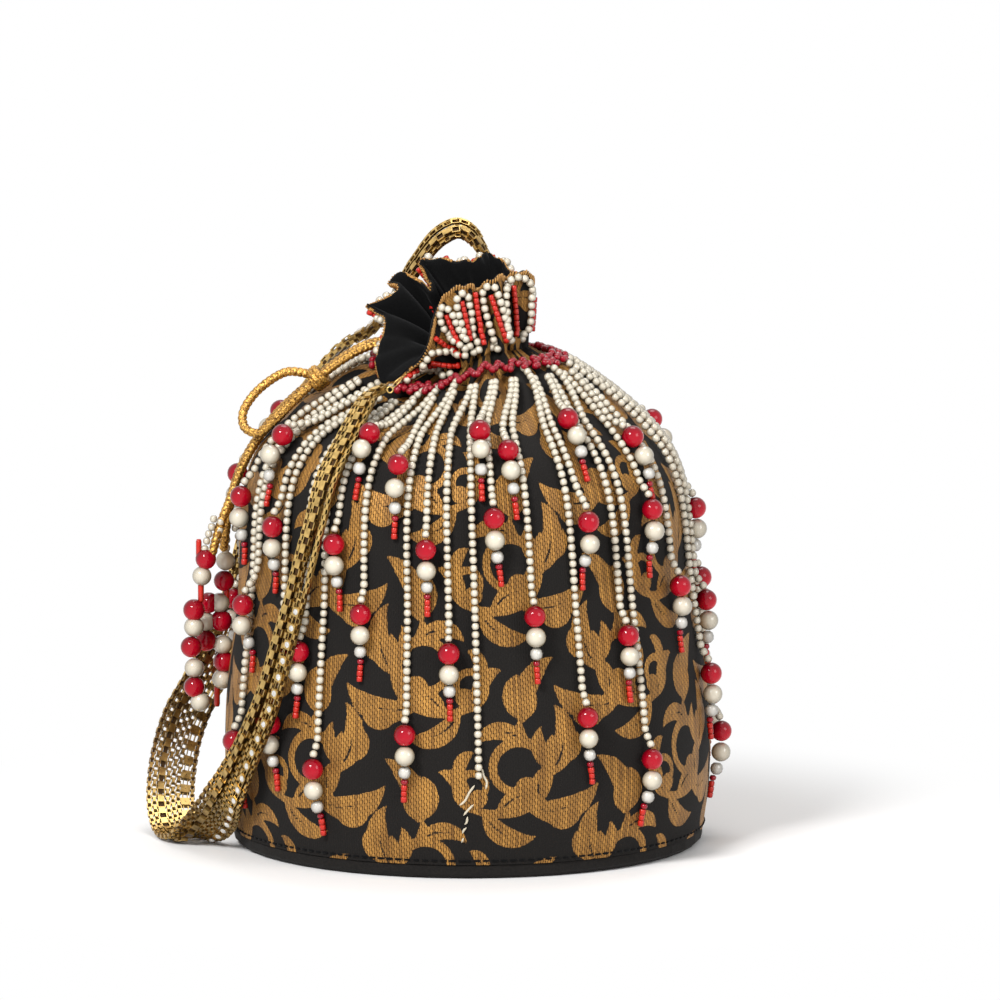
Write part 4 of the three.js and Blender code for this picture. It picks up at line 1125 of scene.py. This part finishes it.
# The sides and the back carry the same arches. Each column is given with the share of the
# ruffle's height that its arch rises to.
HIDDEN_ARCHES = {
    13.2: 1, 16.2: 1, 19.2: 1, 22.2: 1, 25.2: 1, 28.2: 0.84, 31.0: 0.9, 33.6: 1, 35.8: 1,
    38: 1, 40.2: 1,
}
ARCH_HALF = 0.95
arch_lines, bar_lines = [], []
for column, top in HIDDEN_ARCHES.items():
    t = np.linspace(0, 1, 90)
    share = top * np.interp(t, [0, 0.42, 0.5, 0.58, 1], [0.2, 0.9, 1, 0.9, 0.2])
    aside = ARCH_HALF * np.interp(t, [0, 0.38, 0.5, 0.62, 1], [-0.75, -1, 0, 1, 0.75])
    arch_lines.append((share, column + aside))
    bar_lines.append((np.linspace(0.3, 0.76, 40), np.full(40, column)))
    bar_lines.append((np.linspace(0.34, 0.96 * top, 40), np.full(40, column + 1.3)))
print(len(arch_lines), "arches where the photograph shows none")

# %% [markdown]
# The arches that face the camera were read off the photograph as pixels. Each pixel is
# looked up on a fine grid of the ruffle's outer face, which gives its column and share, so
# the beads still lie on the cloth seen from any side.

# %% Arches read off the photograph
FRONT_ARCHES = [
    [(466, 357), (446, 353), (430, 355), (423, 364), (427, 376), (438, 381), (454, 382)],
    [
        (466, 350), (455, 342), (444, 330), (440, 316), (444, 308), (451, 313), (457, 326),
        (463, 338),
    ],
    [
        (474, 354), (466, 340), (461, 322), (457, 306), (459, 296), (467, 296), (470, 310),
        (474, 330), (480, 352),
    ], [
        (497, 357), (493, 340), (488, 322), (484, 304), (484, 290), (494, 288), (500, 302),
        (506, 322), (511, 342),
    ], [
        (508, 338), (507, 320), (506, 300), (508, 284), (520, 278), (531, 286), (531, 304),
        (530, 324), (524, 342),
    ],
    [(433, 385), (414, 384), (401, 389), (394, 396), (402, 401), (416, 400)],
]
FRONT_BARS = [
    [(433, 365), (448, 367), (462, 368)], [(437, 340), (447, 347), (460, 357)],
    [(447, 318), (452, 331), (459, 345)], [(463, 304), (466, 320), (471, 340)],
    [(476, 295), (479, 318), (484, 345)], [(491, 298), (498, 318), (507, 342)],
    [(514, 288), (516, 310), (517, 336)], [(537, 300), (538, 315), (536, 330)],
    [(416, 376), (426, 380), (436, 384)], [(407, 392), (414, 394), (423, 397)],
    [(389, 401), (400, 403), (414, 404)],
]
print(len(FRONT_ARCHES), "arches and", len(FRONT_BARS), "bars face the camera")

# %% [markdown]
# The look-up takes the grid's point that shows nearest to the pixel. Cloth that faces away
# from the camera is ruled out, and of two folds the nearer one wins.

# %% Sew the arches
look_share, look_column = np.meshgrid(np.linspace(0.03, 0.97, 60), np.linspace(0, COLUMNS, 961))
look_point, look_normal = on_ruffle(look_share, look_column, 1.5)
look_faces = look_normal @ np.array([0, -math.cos(LOOKING_DOWN), math.sin(LOOKING_DOWN)])
look_x, look_y = pixels(look_point)


def on_picture(pixels):
    """Shares and columns of the ruffle under a line of pixels."""
    t = np.linspace(0, 1, 8 * len(pixels))
    line = spline([(x, y, 0) for x, y in pixels], t)
    found = []
    for x, y, _ in line:
        miss = np.hypot(look_x - x, look_y - y) + 40 * (look_faces < 0.02)
        miss = miss + 0.15 * look_point[..., 1]
        spot = np.unravel_index(np.argmin(miss), miss.shape)
        found.append((look_share[spot], look_column[spot]))
    shares, columns = np.array(found).T
    # Neighbouring pixels may fall on either side of a fold, so the line is smoothed.
    turned = np.unwrap(columns * 2 * np.pi / COLUMNS) * COLUMNS / (2 * np.pi)
    window = np.ones(5) / 5
    pad = lambda values: np.convolve(np.pad(values, 2, mode="edge"), window, mode="valid")
    return pad(shares), pad(turned)


arch_lines += [on_picture(pixels) for pixels in FRONT_ARCHES]
bar_lines += [on_picture(pixels) for pixels in FRONT_BARS]


def threaded(shares, columns, lift, pitch):
    """Rows of places for beads threaded along a line on the ruffle."""
    line, normal = on_ruffle(shares, columns, lift)
    spots, places = spaced(line, pitch)
    out = read_at(places, lengths_along(line), normal)
    return plain_rows(spots, unit(np.gradient(spots, axis=0)), unit(out))


arch_pearls = [row for line in arch_lines for row in threaded(*line, GRAIN / 2 + 0.2, GRAIN)]
arch_coral = [row for line in bar_lines for row in threaded(*line, 1.25, 2.15)]
arches = copies("ruffle_pearls", small_ball, arch_pearls, GRAIN, pearl, "pearl_beads", 0.05, 11)
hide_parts(*nodes_named("ruffle_loop_"))
bars = copies("ruffle_coral", bugle, arch_coral, 2.1, coral_glass, "coral_beads", 0.06, 12)
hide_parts(*nodes_named("ruffle_bar_"))

# %% [markdown]
# ## Whip stitches
# Gold thread whips the edge of the ruffle, where brocade and lining meet, and a row of
# darker stitches holds the brocade to the base. Each stitch is one short bent thread.

# %% Stitch the edges
stitch_gold = mottled(
    "gold sewing thread", "#7E5220", "#C99A55", 2200.0, Roughness=0.5, Metallic=0.3
)[0]
grain_of_rice = turned_shape(
    "stitch", [(0, -0.5), (0.12, -0.45), (0.17, -0.2), (0.17, 0.2), (0.12, 0.45), (0, 0.5)], 6
)
EDGE_STEPS, STITCH_GAP, SLANT = 1500, 1.15, 0.35
columns = np.linspace(0, COLUMNS, EDGE_STEPS)
edge_line, edge_normal = on_ruffle(np.full(EDGE_STEPS, 0.975), columns, 0.15)
spots, places = spaced(edge_line, STITCH_GAP)
index = np.clip(np.searchsorted(lengths_along(edge_line), places), 0, EDGE_STEPS - 1)
rim_up = unit(ruffle(1.0, columns) - ruffle(0.94, columns))
slanted = rim_up + SLANT * unit(np.gradient(edge_line, axis=0))
rows = plain_rows(spots, slanted[index], edge_normal[index])
whip = copies("rim_stitches", grain_of_rice, rows, 2.3, stitch_gold, "brocade", 0.15, 13)
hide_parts("brocade_shell")

turns = np.radians(np.arange(0, 360, 2.2))
hem = wall(1.6, turns, 0.1)
ahead = np.stack([np.cos(turns), np.sin(turns), np.zeros_like(turns)], 1)
outward = np.stack([np.sin(turns), -np.cos(turns), np.zeros_like(turns)], 1)
rows = plain_rows(hem, ahead, outward)
seam = copies("hem_stitches", grain_of_rice, rows, 2.6, lining_cotton, "base_cloth", 0.1, 14)
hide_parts("brocade_shell")

# %% [markdown]
# ## The broken string
# One front string has lost its drop. A frayed end of cream thread hangs from its last pearl,
# and a few loose stitches lie on the cloth below it. They stay as they are.

# %% Lay the loose threads
THREAD_SIDES, THREAD_HALF = 6, 0.42


def thread_tube(points):
    centres, places = spaced(spline(points, np.linspace(0, 1, 24)), 0.5)
    _, side, up = carried_frames(centres)
    taper = np.clip(np.minimum(places, places[-1] - places) / 0.8, 0.25, 1) * THREAD_HALF
    return rings_round(centres, side, up, taper, THREAD_SIDES)


def from_picture(x, y, lift=0.5):
    """The point of the cloth seen at a pixel, found by steps that shrink the miss."""
    angle, length = 0.0, 60.0
    for _ in range(30):
        seen_x, seen_y = pixels(wall(length, angle, lift))
        angle += 0.8 * (x - seen_x) / PX_ACROSS / BELLY_RADIUS
        length -= 0.8 * (y - seen_y) / PX_UP
    return wall(length, angle, lift)


points, faces = [], []
for route in (
    [(482, 764), (484, 772), (487, 778), (486, 785)],
    [(475, 781), (470, 788), (465, 797), (460, 801)],
    [(474, 800), (469, 805), (464, 811)],
    [(468, 812), (467, 818), (465, 820)],
    [(467, 823), (464, 826), (463, 829)],
    [(464, 833), (463, 836), (462, 838)],
):
    tube = thread_tube(np.array([from_picture(x, y) for x, y in route]))
    first = sum(len(p) for p in points)
    points.append(tube.reshape(-1, 3))
    after = first + len(points[-1])
    faces += (ring_faces(*tube.shape[:2]) + first).tolist()
    faces += [
        list(range(first, first + THREAD_SIDES))[::-1], list(range(after - THREAD_SIDES, after))
    ]
add_piece("loose_threads", np.vstack(points), faces, thread)

# %% [markdown]
# ## The tassels
# Large red and cream beads hang from both tails, in two strings each. Their places were
# read off the photograph, and each string's depth is the model's.

# %% String the tassels
TASSELS = {
    "tassel_front": {
        "depth": -7.0,
        "small": [
            (214, 519), (212, 527), (209, 534), (207, 541), (205, 549),
            (221, 522), (220, 530), (217, 538), (214, 546), (211, 551),
        ],
        "red": [(206, 559), (194, 610), (191, 647), (194, 687)],
        "pearl": [(202, 576), (194, 627), (194, 668), (200, 702)],
        "coral": [(199, 549), (201, 592)],
    },
    "tassel_rear": {
        "depth": 5.0,
        "small": [
            (232, 520), (235, 528), (238, 536), (240, 544), (241, 552), (241, 560),
            (224, 524), (225, 532), (226, 540), (226, 548), (225, 553),
        ],
        "red": [(223.5, 581), (220.6, 621), (223, 662), (208, 603), (205, 641)],
        "pearl": [(225, 561), (219, 603), (222, 645), (205, 622), (221, 680)],
        "coral": [(226, 592), (216, 697)],
    },
}


tassels = []
upright, facing = (0, 0, 1), (0, -1, 0)
for name, parts in TASSELS.items():
    for kind, shape, width, tall, finish, slot in (
        ("small", small_ball, GRAIN, 1, pearl, "pearl_beads"),
        ("red", large_ball, BALL, 1, red_glass, "red_beads"),
        ("pearl", large_ball, PEARL, 1, pearl, "pearl_beads"),
        ("coral", bugle, 2.2, 3.4, coral_glass, "coral_beads"),
    ):
        spots = [at_depth(x, y, parts["depth"]) for x, y in parts[kind]]
        rows = [(spot, upright, facing, (1, 1, tall)) for spot in spots]
        piece = copies(f"{name}_{kind}", shape, rows, width, finish, slot, 0.04, 15)
        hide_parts(name)
        tassels.append(piece)
print(len(tassels), "tassel pieces")

# %% [markdown]
# ## The chain band
# The strap is a flat band of brass chains sewn side by side: fine chains, one of larger
# bright boxes that reads as a chequer, and one of set stones. Its route is the model's, from
# the front of the neck down to the floor, round, and up to the back of the neck. Down the
# front the band bunches up, so it is narrower there. Each row of links follows the route at
# its own place across the band.

# %% The band's route
# Degrees round the bag, height as a share of the neck's, distance from the wall, turn and tip
# in degrees, and width as a share of the whole.
STRAP_ROUTE = [
    [-40, 0.955, 6.5, 0, 0, 0.26], [-40, 0.946, 9.5, 0, 0, 0.3], [-37.4, 0.93, 12.5, 0, 0, 0.38],
    [-36.6, 0.885, 10.5, 0, 0, 0.44], [-36.8, 0.8, 9.6, 0, 0, 0.46],
    [-38.2, 0.71, 9.6, 0, 0, 0.46], [-40, 0.63, 9.8, 0, 0, 0.48],
    [-42.4, 0.545, 9.6, 0, 0, 0.52], [-45.6, 0.44, 9.6, 0, 0, 0.62],
    [-49.1, 0.336, 9.6, 0, 0, 0.72], [-55.4, 0.226, 9, 0, 0, 0.84],
    [-64.3, 0.13, 8.5, 12, 0, 0.94],
    [-75.2, 0.055, 10, 45, 0, 1], [-83.5, 0.014, 15.5, 80, 0, 1], [-92, 0.014, 20.5, 95, 0, 1],
    [-99.2, 0.06, 24, 110, 0, 1], [-105.3, 0.135, 24, 125, 0, 1],
    [-109.7, 0.21, 22.4, 138, 0, 1], [-113.7, 0.27, 20.2, 150, 0, 1],
    [-118.1, 0.336, 18.4, 160, 0, 1], [-122.9, 0.468, 15.8, 172, 0, 1],
    [-126.3, 0.634, 14, 180, 0, 1], [-129.2, 0.8, 12, 184, 0, 1], [-130, 0.905, 17, 188, 5, 0.9],
    [-130.6, 0.99, 37, 195, 10, 0.7], [-133, 1.03, 33, 215, 20, 0.6],
    [-140, 1.16, 17, 250, 32, 0.5], [-150, 1.222, 9.5, 262, 36, 0.5],
    [-164, 1.24, 6.5, 268, 38, 0.5], [-175, 1.228, 5.5, 270, 36, 0.5],
    [-184, 1.2, 5, 275, 25, 0.45], [-194, 1.155, 5, 320, 10, 0.35],
    [-204, 1.09, 4.2, 355, 0, 0.3], [-208, 1.045, 4, 360, 0, 0.3],
]
HALF_WIDTH = 9.0
# The model's wall has these rows in each span of its section, with straight faces between.
SPAN_ROWS = [1, 1, 2, 3, 1, 1, 1]
row_marks = [0.0]
for span, count in enumerate(SPAN_ROWS):
    row_marks += [(span + i / count) / len(SPAN_ROWS) for i in range(1, count + 1)]
row_points = spline(PROFILE, row_marks)


def wall_radius(level):
    if level >= NECK_HEIGHT:
        return NECK_RADIUS
    return float(np.interp(level, row_points[:, 2], row_points[:, 0]))


route, pose = [], []
for degrees, share, off, turn, tip, width in STRAP_ROUTE:
    angle, level = math.radians(degrees), share * NECK_HEIGHT
    reach = wall_radius(level) + off
    middle = NECK_OFFSET if level > YOKE_HEIGHT else 0
    route.append([middle + reach * math.sin(angle), -reach * math.cos(angle), level])
    pose.append([math.radians(turn), math.radians(tip), width])
fine = np.linspace(0, 1, 1600)
strap_line, strap_pose = spline(route, fine), spline(pose, fine)
strap_along = unit(np.gradient(strap_line, axis=0))
angle = np.arctan2(strap_line[:, 0], -strap_line[:, 1])
flat = np.zeros_like(angle)
round_way = np.stack([np.cos(angle), np.sin(angle), flat], 1)
out_way = np.stack([np.sin(angle), -np.cos(angle), flat], 1)
turn, tip = strap_pose[:, :1], strap_pose[:, 1]
strap_across = (round_way * np.cos(turn) - out_way * np.sin(turn)) * np.cos(tip)[:, None]
strap_across[:, 2] = np.sin(tip)
strap_across -= strap_along * (strap_across * strap_along).sum(1, keepdims=True)
strap_across = unit(strap_across)
strap_face = -np.cross(strap_across, strap_along)
print("the band is", round(lengths_along(strap_line)[-1]), "mm long")

# %% [markdown]
# ## Links and stones
# A box link is a short square tube, and every second one is turned a quarter, so the chain
# shows bright plates and open squares. A dark brown core runs along each chain, which puts
# painted shade in the open squares. A stone is a cut crystal on a square cup. The brass's
# tarnish varies at random in flecks, and painted light in its colour makes it bright where it
# faces the lamp and dark where it faces the unlit room.

# %% Brass and crystal
def square_link(name, wall_share, depth):
    points = [
        (x * half, y * half, z)
        for half in (0.5, 0.5 - wall_share) for z in (-depth, depth) for x, y in SQUARE
    ]
    faces = []
    for j in range(4):
        k = (j + 1) % 4
        faces += [
            [j, k, 4 + k, 4 + j], [8 + k, 8 + j, 12 + j, 12 + k],
            [k, j, 8 + j, 8 + k], [4 + j, 4 + k, 12 + k, 12 + j],
        ]
    return template(name, points, faces, smooth=False)


def cut_stone(name):
    angle = np.arange(8) * np.pi / 4 + np.pi / 8
    rows = [(0.5, 0.05), (0.42, 0.22), (0.24, 0.34), (0.5, -0.25)]
    points = [(r * math.cos(a), r * math.sin(a), h) for r, h in rows for a in angle]
    faces = ring_faces(3, 8).tolist() + [list(range(16, 24)), list(range(24, 32))[::-1]]
    faces += [[24 + j, 24 + (j + 1) % 8, (j + 1) % 8, j] for j in range(8)]
    return template(name, points, faces, smooth=False)


# Painted light: the brass is lighter in colour where it faces this way and darker away from it.
TO_LAMP = (-0.1, -0.86, 0.5)
brass, tree, shader = new_material("antique brass chain with painted light", Metallic=1.0)
place = add(tree, "ShaderNodeTexCoord").outputs["Object"]
tarnish = add(tree, "ShaderNodeTexNoise", {"Vector": place, "Scale": 450.0, "Detail": 1.5})
normal = add(tree, "ShaderNodeNewGeometry").outputs["Normal"]
facing = add(tree, "ShaderNodeVectorMath", {0: normal, 1: TO_LAMP}, operation="DOT_PRODUCT")
lit = add(tree, "ShaderNodeMapRange", {"Value": facing, 1: -0.2, 2: 1.15})
painted_light_and_tarnish_share = add(tree, "ShaderNodeMath", {0: tarnish, 1: 0.8, 2: -0.4}, operation="MULTIPLY_ADD")
painted_light_and_tarnish_share = add(tree, "ShaderNodeMath", {0: lit, 1: painted_light_and_tarnish_share}, operation="ADD")
tarnish_and_painted_light = add(tree, "ShaderNodeValToRGB", {"Fac": painted_light_and_tarnish_share})
low, high = tarnish_and_painted_light.color_ramp.elements
low.position, low.color = 0.1, colour("#3C280C")
high.position, high.color = 0.9, colour("#E2BE76")
scuffed = add(tree, "ShaderNodeMath", {0: tarnish, 1: 0.3, 2: 0.2}, operation="MULTIPLY_ADD")
feed(tree, shader, {"Base Color": tarnish_and_painted_light, "Roughness": scuffed})
# The cores' dark brown is painted shade for the open squares of the links.
painted_shade_core = mottled(
    "dark brown core as painted shade", "#1E1206", "#5A3C16", 800.0, Metallic=0.6, Roughness=0.55
)[0]
crystal = mottled(
    "foiled cut crystal", "#B8B4AC", "#FFFFFF", 700.0, Metallic=0.75, Roughness=0.06
)[0]
link_shape = square_link("box link", 0.14, 0.34)
bold_shape = square_link("bold box link", 0.12, 0.4)
cup_shape = square_link("cup", 0.45, 0.3)
stone_shape = cut_stone("stone")
print("link, bold link and stone shapes made")

# %% [markdown]
# ## Rows across the band
# Each chain runs along the route at its share of the way across, lifted off the band's
# middle by half its own thickness. Where the band lies on the floor, no link's middle comes
# lower than its row allows.

# %% Set out a row
CORE_PITCH = 2.4
LOWEST_FINE, LOWEST_BOLD, LOWEST_CUP = 1.2, 1.7, 1.8


def chain_row(share, lift, pitch, lowest=LOWEST_FINE):
    """Even places along one row of the band, each with its three directions."""
    aside = HALF_WIDTH * strap_pose[:, 2:] * np.broadcast_to(share, len(strap_line))[:, None]
    line = strap_line + strap_across * aside + strap_face * lift
    spots, places = spaced(line, pitch)
    spots[:, 2] = np.maximum(spots[:, 2], lowest)
    marks = lengths_along(line)
    axes = [unit(read_at(places, marks, way)) for way in (strap_along, strap_across, strap_face)]
    narrow = np.interp(places, marks, strap_pose[:, 2])
    return spots, *axes, narrow, places / places[-1]


def square_core(share, lift, half):
    """A thin square rod along one row."""
    spots, _, across, face, _, _ = chain_row(share, lift, CORE_PITCH)
    return np.stack([spots + half * (x * across + y * face) for x, y in SQUARE], 1)


print("the band narrows to", round(2 * HALF_WIDTH * float(strap_pose[:, 2].min()), 1), "mm")

# %% [markdown]
# The rows are filled with links one after the other. Every second link stands on edge, and a
# fine chain is left out where the band is too narrow to show it.

# %% Link the chains
FINE, BOLD, STONE = 1.9, 3.1, 2.8
FINE_PITCH, BOLD_PITCH, STONE_PITCH = 2.0, 3.0, 3.2
FINE_LIFT, BOLD_LIFT, STONE_LIFT = 0.15, 0.7, 0.8
FINE_CORE, BOLD_CORE = 0.45, 0.7
# Each fine chain's share of the way across, and how wide the band is before it shows.
FINE_SHARES = {-0.95: 0, -0.73: 0.85, -0.17: 0.8, 0.05: 0.45, 0.27: 0.72, 0.86: 0}
# At the top of the front the band is turned over a little: the box chain lies to the right
# there, three fine ones show beside it, and the stones are underneath.
TURNED_SHARES = (-0.6, -0.25, 0.98)
TURNED_TO = 0.16
BOLD_SHARE = np.interp(fine, [0, 0.1, 0.2], [0.36, 0.33, -0.45])
# The stones' row runs on as bare links where the band is narrow.
STONE_SHARE, NO_STONES = 0.57, 0.52
# Links are a little longer than wide, and the ones on edge differ from the flat ones.
FLAT, ON_EDGE, SMALL, BARE = (1.12, 1, 0.9), (1.12, 1, 0.8), (1.12, 0.8, 0.8), (1.9, 1, 0.8)
fine_rows, bold_rows, stones, cups, cores = [], [], [], [], []
for n, (share, shows_from) in enumerate(FINE_SHARES.items()):
    spots, along, across, face, narrow, _ = chain_row(share, FINE_LIFT, FINE_PITCH)
    for i in np.flatnonzero(narrow >= shows_from):
        on_edge = (i + n) % 2
        way, size = (across[i], ON_EDGE) if on_edge else (face[i], FLAT)
        fine_rows.append((spots[i], way, along[i], size))
    if shows_from == 0:
        cores.append(square_core(share, FINE_LIFT, FINE_CORE))
for n, share in enumerate(TURNED_SHARES):
    spots, along, across, face, _, gone = chain_row(share, FINE_LIFT, FINE_PITCH)
    for i in np.flatnonzero(gone < TURNED_TO):
        fine_rows.append((spots[i], across[i] if (i + n) % 2 else face[i], along[i], SMALL))
spots, along, across, face, narrow, _ = chain_row(BOLD_SHARE, BOLD_LIFT, BOLD_PITCH, LOWEST_BOLD)
for i, spot in enumerate(spots):
    scale = 0.85 + 0.15 * narrow[i]
    way, raised = (across[i], 0.3) if i % 2 else (face[i], 0.0)
    bold_rows.append((spot + raised * face[i], way, along[i], (1.08, scale, scale)))
cores.append(square_core(BOLD_SHARE, BOLD_LIFT, BOLD_CORE))
spots, along, _, face, narrow, gone = chain_row(STONE_SHARE, STONE_LIFT, STONE_PITCH, LOWEST_CUP)
for i in np.flatnonzero(gone >= TURNED_TO):
    if i % 2 and narrow[i] >= NO_STONES:
        stones.append((spots[i] + 0.5 * face[i], face[i], along[i], (1, 1, 1)))
        cups.append((spots[i], face[i], along[i], (1.2, 1.2, 1.2)))
    else:
        fine_rows.append((spots[i], face[i], along[i], BARE))
counts = [len(ring) for ring in cores]
starts = np.concatenate([[0], np.cumsum(counts)[:-1]]) * 4
core_faces = np.vstack([ring_faces(count, 4) + start for count, start in zip(counts, starts)])
core_ends = [
    [start + shift + j for j in order]
    for count, start in zip(counts, starts)
    for shift, order in ((0, (3, 2, 1, 0)), (4 * count - 4, (0, 1, 2, 3)))
]
print({"fine": len(fine_rows), "bold": len(bold_rows), "stones": len(stones)})

# %% [markdown]
# ## Rings at the ends
# A ring joins each end to the neck, and an eye of wire leads on from the front one. Each is
# given by its middle, two directions with the half lengths along them, and the wire's half
# thickness.

# %% Bend the rings and make the strap
RING_STEPS, WIRE_SIDES = 20, 8
round_ring = np.arange(RING_STEPS)[:, None] * 2 * np.pi / RING_STEPS
front_ring = at_depth(391, 391, -42)
ring_points, ring_parts = [], []
for middle, long_way, length, broad_way, breadth, half in (
    (front_ring, (1, 0, 0), 1.1, (0, 0.15, 1), 1.1, 0.32),
    (front_ring + [2.6, 0.5, 2.7], (0.7, 0.1, 0.72), 2.9, (0.72, 0.1, -0.7), 0.6, 0.24),
    (strap_line[-1] + strap_along[-1] * 1.2, strap_along[-1], 1.8, strap_across[-1], 1.8, 0.45),
):
    long_way, broad_way = unit(np.array(long_way, float)), unit(np.array(broad_way, float))
    loop = length * np.cos(round_ring) * long_way + breadth * np.sin(round_ring) * broad_way
    sideways = np.tile(np.cross(long_way, broad_way), (RING_STEPS, 1))
    thick = np.full(RING_STEPS, half)
    tube = rings_round(middle + loop, unit(loop), sideways, thick, WIRE_SIDES)
    ring_parts.append(
        ring_faces(RING_STEPS, WIRE_SIDES, closed=True) + len(ring_points) * RING_STEPS * WIRE_SIDES
    )
    ring_points.append(tube.reshape(-1, 3))
chains = [
    copies("strap_fine_chains", link_shape, fine_rows, FINE, brass, "strap_chain", 0.05, 16),
    copies("strap_box_chain", bold_shape, bold_rows, BOLD, brass, "strap_chain", 0.02, 17),
    copies("strap_stones", stone_shape, stones, STONE, crystal, "strap_chain", 0.03, 18),
    copies("strap_stone_cups", cup_shape, cups, STONE, brass, "strap_chain", 0.02, 19),
    add_piece(
        "strap_cores", np.vstack([ring.reshape(-1, 3) for ring in cores]), core_faces, painted_shade_core,
        smooth=False, extra=core_ends,
    ),
    add_piece("strap_rings", np.vstack(ring_points), np.vstack(ring_parts), brass),
]
for piece in chains:
    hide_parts("chain_strap")

# %% [markdown]
# Each cord's real length is printed, and the model's node for that cord is hidden.

# %% Cord facts
for name, node, pieces_on, far_end in (
    ("cord_front", "cord_tail_front", [knot] + tassels[:4], "fitting"),
    ("cord_rear", "cord_tail_rear", tassels[4:], "fitting"),
    ("cord_bow", "cord_bow_loop", [], "object"),
):
    piece, line = cords[name]
    length = lengths_along(line)[-1] * MM
    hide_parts(node)
    print(name, round(length, 4), "m")

# %% [markdown]
# ## What stays from the model
# The base is a stiff disc wrapped in black cloth, and its solid is right as it is. The ring
# of cord inside the casing is hidden. Both get a finish of their own.

# %% Finish the model's own pieces
base_cloth, tree, shader, rib = mottled(
    "black base cloth", "#0D0C0B", "#23201E", 1100.0, 3.0, Roughness=0.93,
    Specular_IOR_Level=0.2, Sheen_Weight=0.04,
)
ribbed = add(tree, "ShaderNodeBump", {"Height": rib, "Strength": 0.5, "Distance": 0.0003})
feed(tree, shader, {"Normal": ribbed})
for name, finish in (("base_panel", base_cloth), ("drawcord_ring", gold_cord)):
    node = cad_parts[name]
    node.data.materials.clear()
    node.data.materials.append(finish)
for shape in (
    small_ball, large_ball, bugle, grain_of_rice, link_shape, bold_shape, stone_shape, cup_shape
):
    bpy.data.objects.remove(shape)
print("finished the base and the ring")

# %% [markdown]
# ## Floor and light
# The bag stands on a pale floor under a large soft lamp from the upper left and a weaker
# one from the right, in a light grey room. Close to the bag the floor is ordinary pale
# paint that takes its shadow. Further out it fades to plain white for the camera, so no
# horizon shows, and no extra light reaches the bag.

# %% Set the stage
FADE_FROM, FADE_TO = 0.13, 0.24
FLOOR_HALF, FLOOR_HEIGHT = 6.0, -0.0004


def seen_directly(tree):
    """1 for rays of the camera and for those a mirror or a lens passes on, and else 0."""
    rays = add(tree, "ShaderNodeLightPath").outputs
    seen = {0: rays["Is Camera Ray"], 1: rays["Is Glossy Ray"]}
    seen = add(tree, "ShaderNodeMath", seen, operation="MAXIMUM")
    seen = {0: seen, 1: rays["Is Transmission Ray"]}
    return add(tree, "ShaderNodeMath", seen, operation="MAXIMUM")


def pale_ground():
    made, tree, shader = new_material("pale studio floor", Roughness=0.95, Specular_IOR_Level=0)
    place = add(tree, "ShaderNodeTexCoord").outputs["Object"]
    away = add(tree, "ShaderNodeVectorMath", {0: place}, operation="LENGTH")
    far = {"Value": away, 1: FADE_FROM, 2: FADE_TO}
    far = add(tree, "ShaderNodeMapRange", far, interpolation_type="SMOOTHSTEP")
    faded = {0: far, 1: seen_directly(tree)}
    faded = add(tree, "ShaderNodeMath", faded, operation="MULTIPLY")
    white = add(tree, "ShaderNodeEmission", {"Color": colour("#FFFFFF"), "Strength": 1.0})
    both = add(tree, "ShaderNodeMixShader", {0: faded, 1: shader, 2: white})
    feed(tree, shader, {"Base Color": colour("#F6F5F4")})
    feed(tree, tree.nodes["Material Output"], {"Surface": both})
    return made


corners = [(x * FLOOR_HALF, y * FLOOR_HALF, FLOOR_HEIGHT) for x, y in SQUARE]
ground = bpy.data.meshes.new("floor")
ground.from_pydata(corners, [], [(0, 1, 2, 3)])
ground.materials.append(pale_ground())
new_object("floor", ground)

world = bpy.data.worlds.new("studio")
bpy.context.scene.world = world
world.use_nodes = True
tree = world.node_tree
tree.nodes.clear()
room, white = (
    add(tree, "ShaderNodeBackground", {"Color": colour("#FFFFFF"), "Strength": strength})
    for strength in (0.4, 1.0)
)
both = add(tree, "ShaderNodeMixShader", {0: seen_directly(tree), 1: room, 2: white})
add(tree, "ShaderNodeOutputWorld", {0: both})


def lamp(name, where, width, watts):
    light = bpy.data.lights.new(name, "AREA")
    light.shape = "DISK"
    light.size = width
    light.energy = watts
    made = new_object(name, light)
    made.location = where
    aim = Vector((0, 0, 0.1)) - Vector(where)
    made.rotation_euler = aim.to_track_quat("-Z", "Y").to_euler()


lamp("key", (-0.7, -1.1, 1.2), 0.5, 25)
lamp("fill", (1.1, -0.9, 0.7), 0.8, 7)
lamp("top", (0.1, 0.5, 1.4), 0.8, 7)
bpy.context.scene.view_settings.view_transform = "Standard"
print("the floor fades to white from", FADE_FROM, "to", FADE_TO, "m")

# %% [markdown]
# ## The end

# %% Bring the scene up to date
bpy.context.view_layer.update()
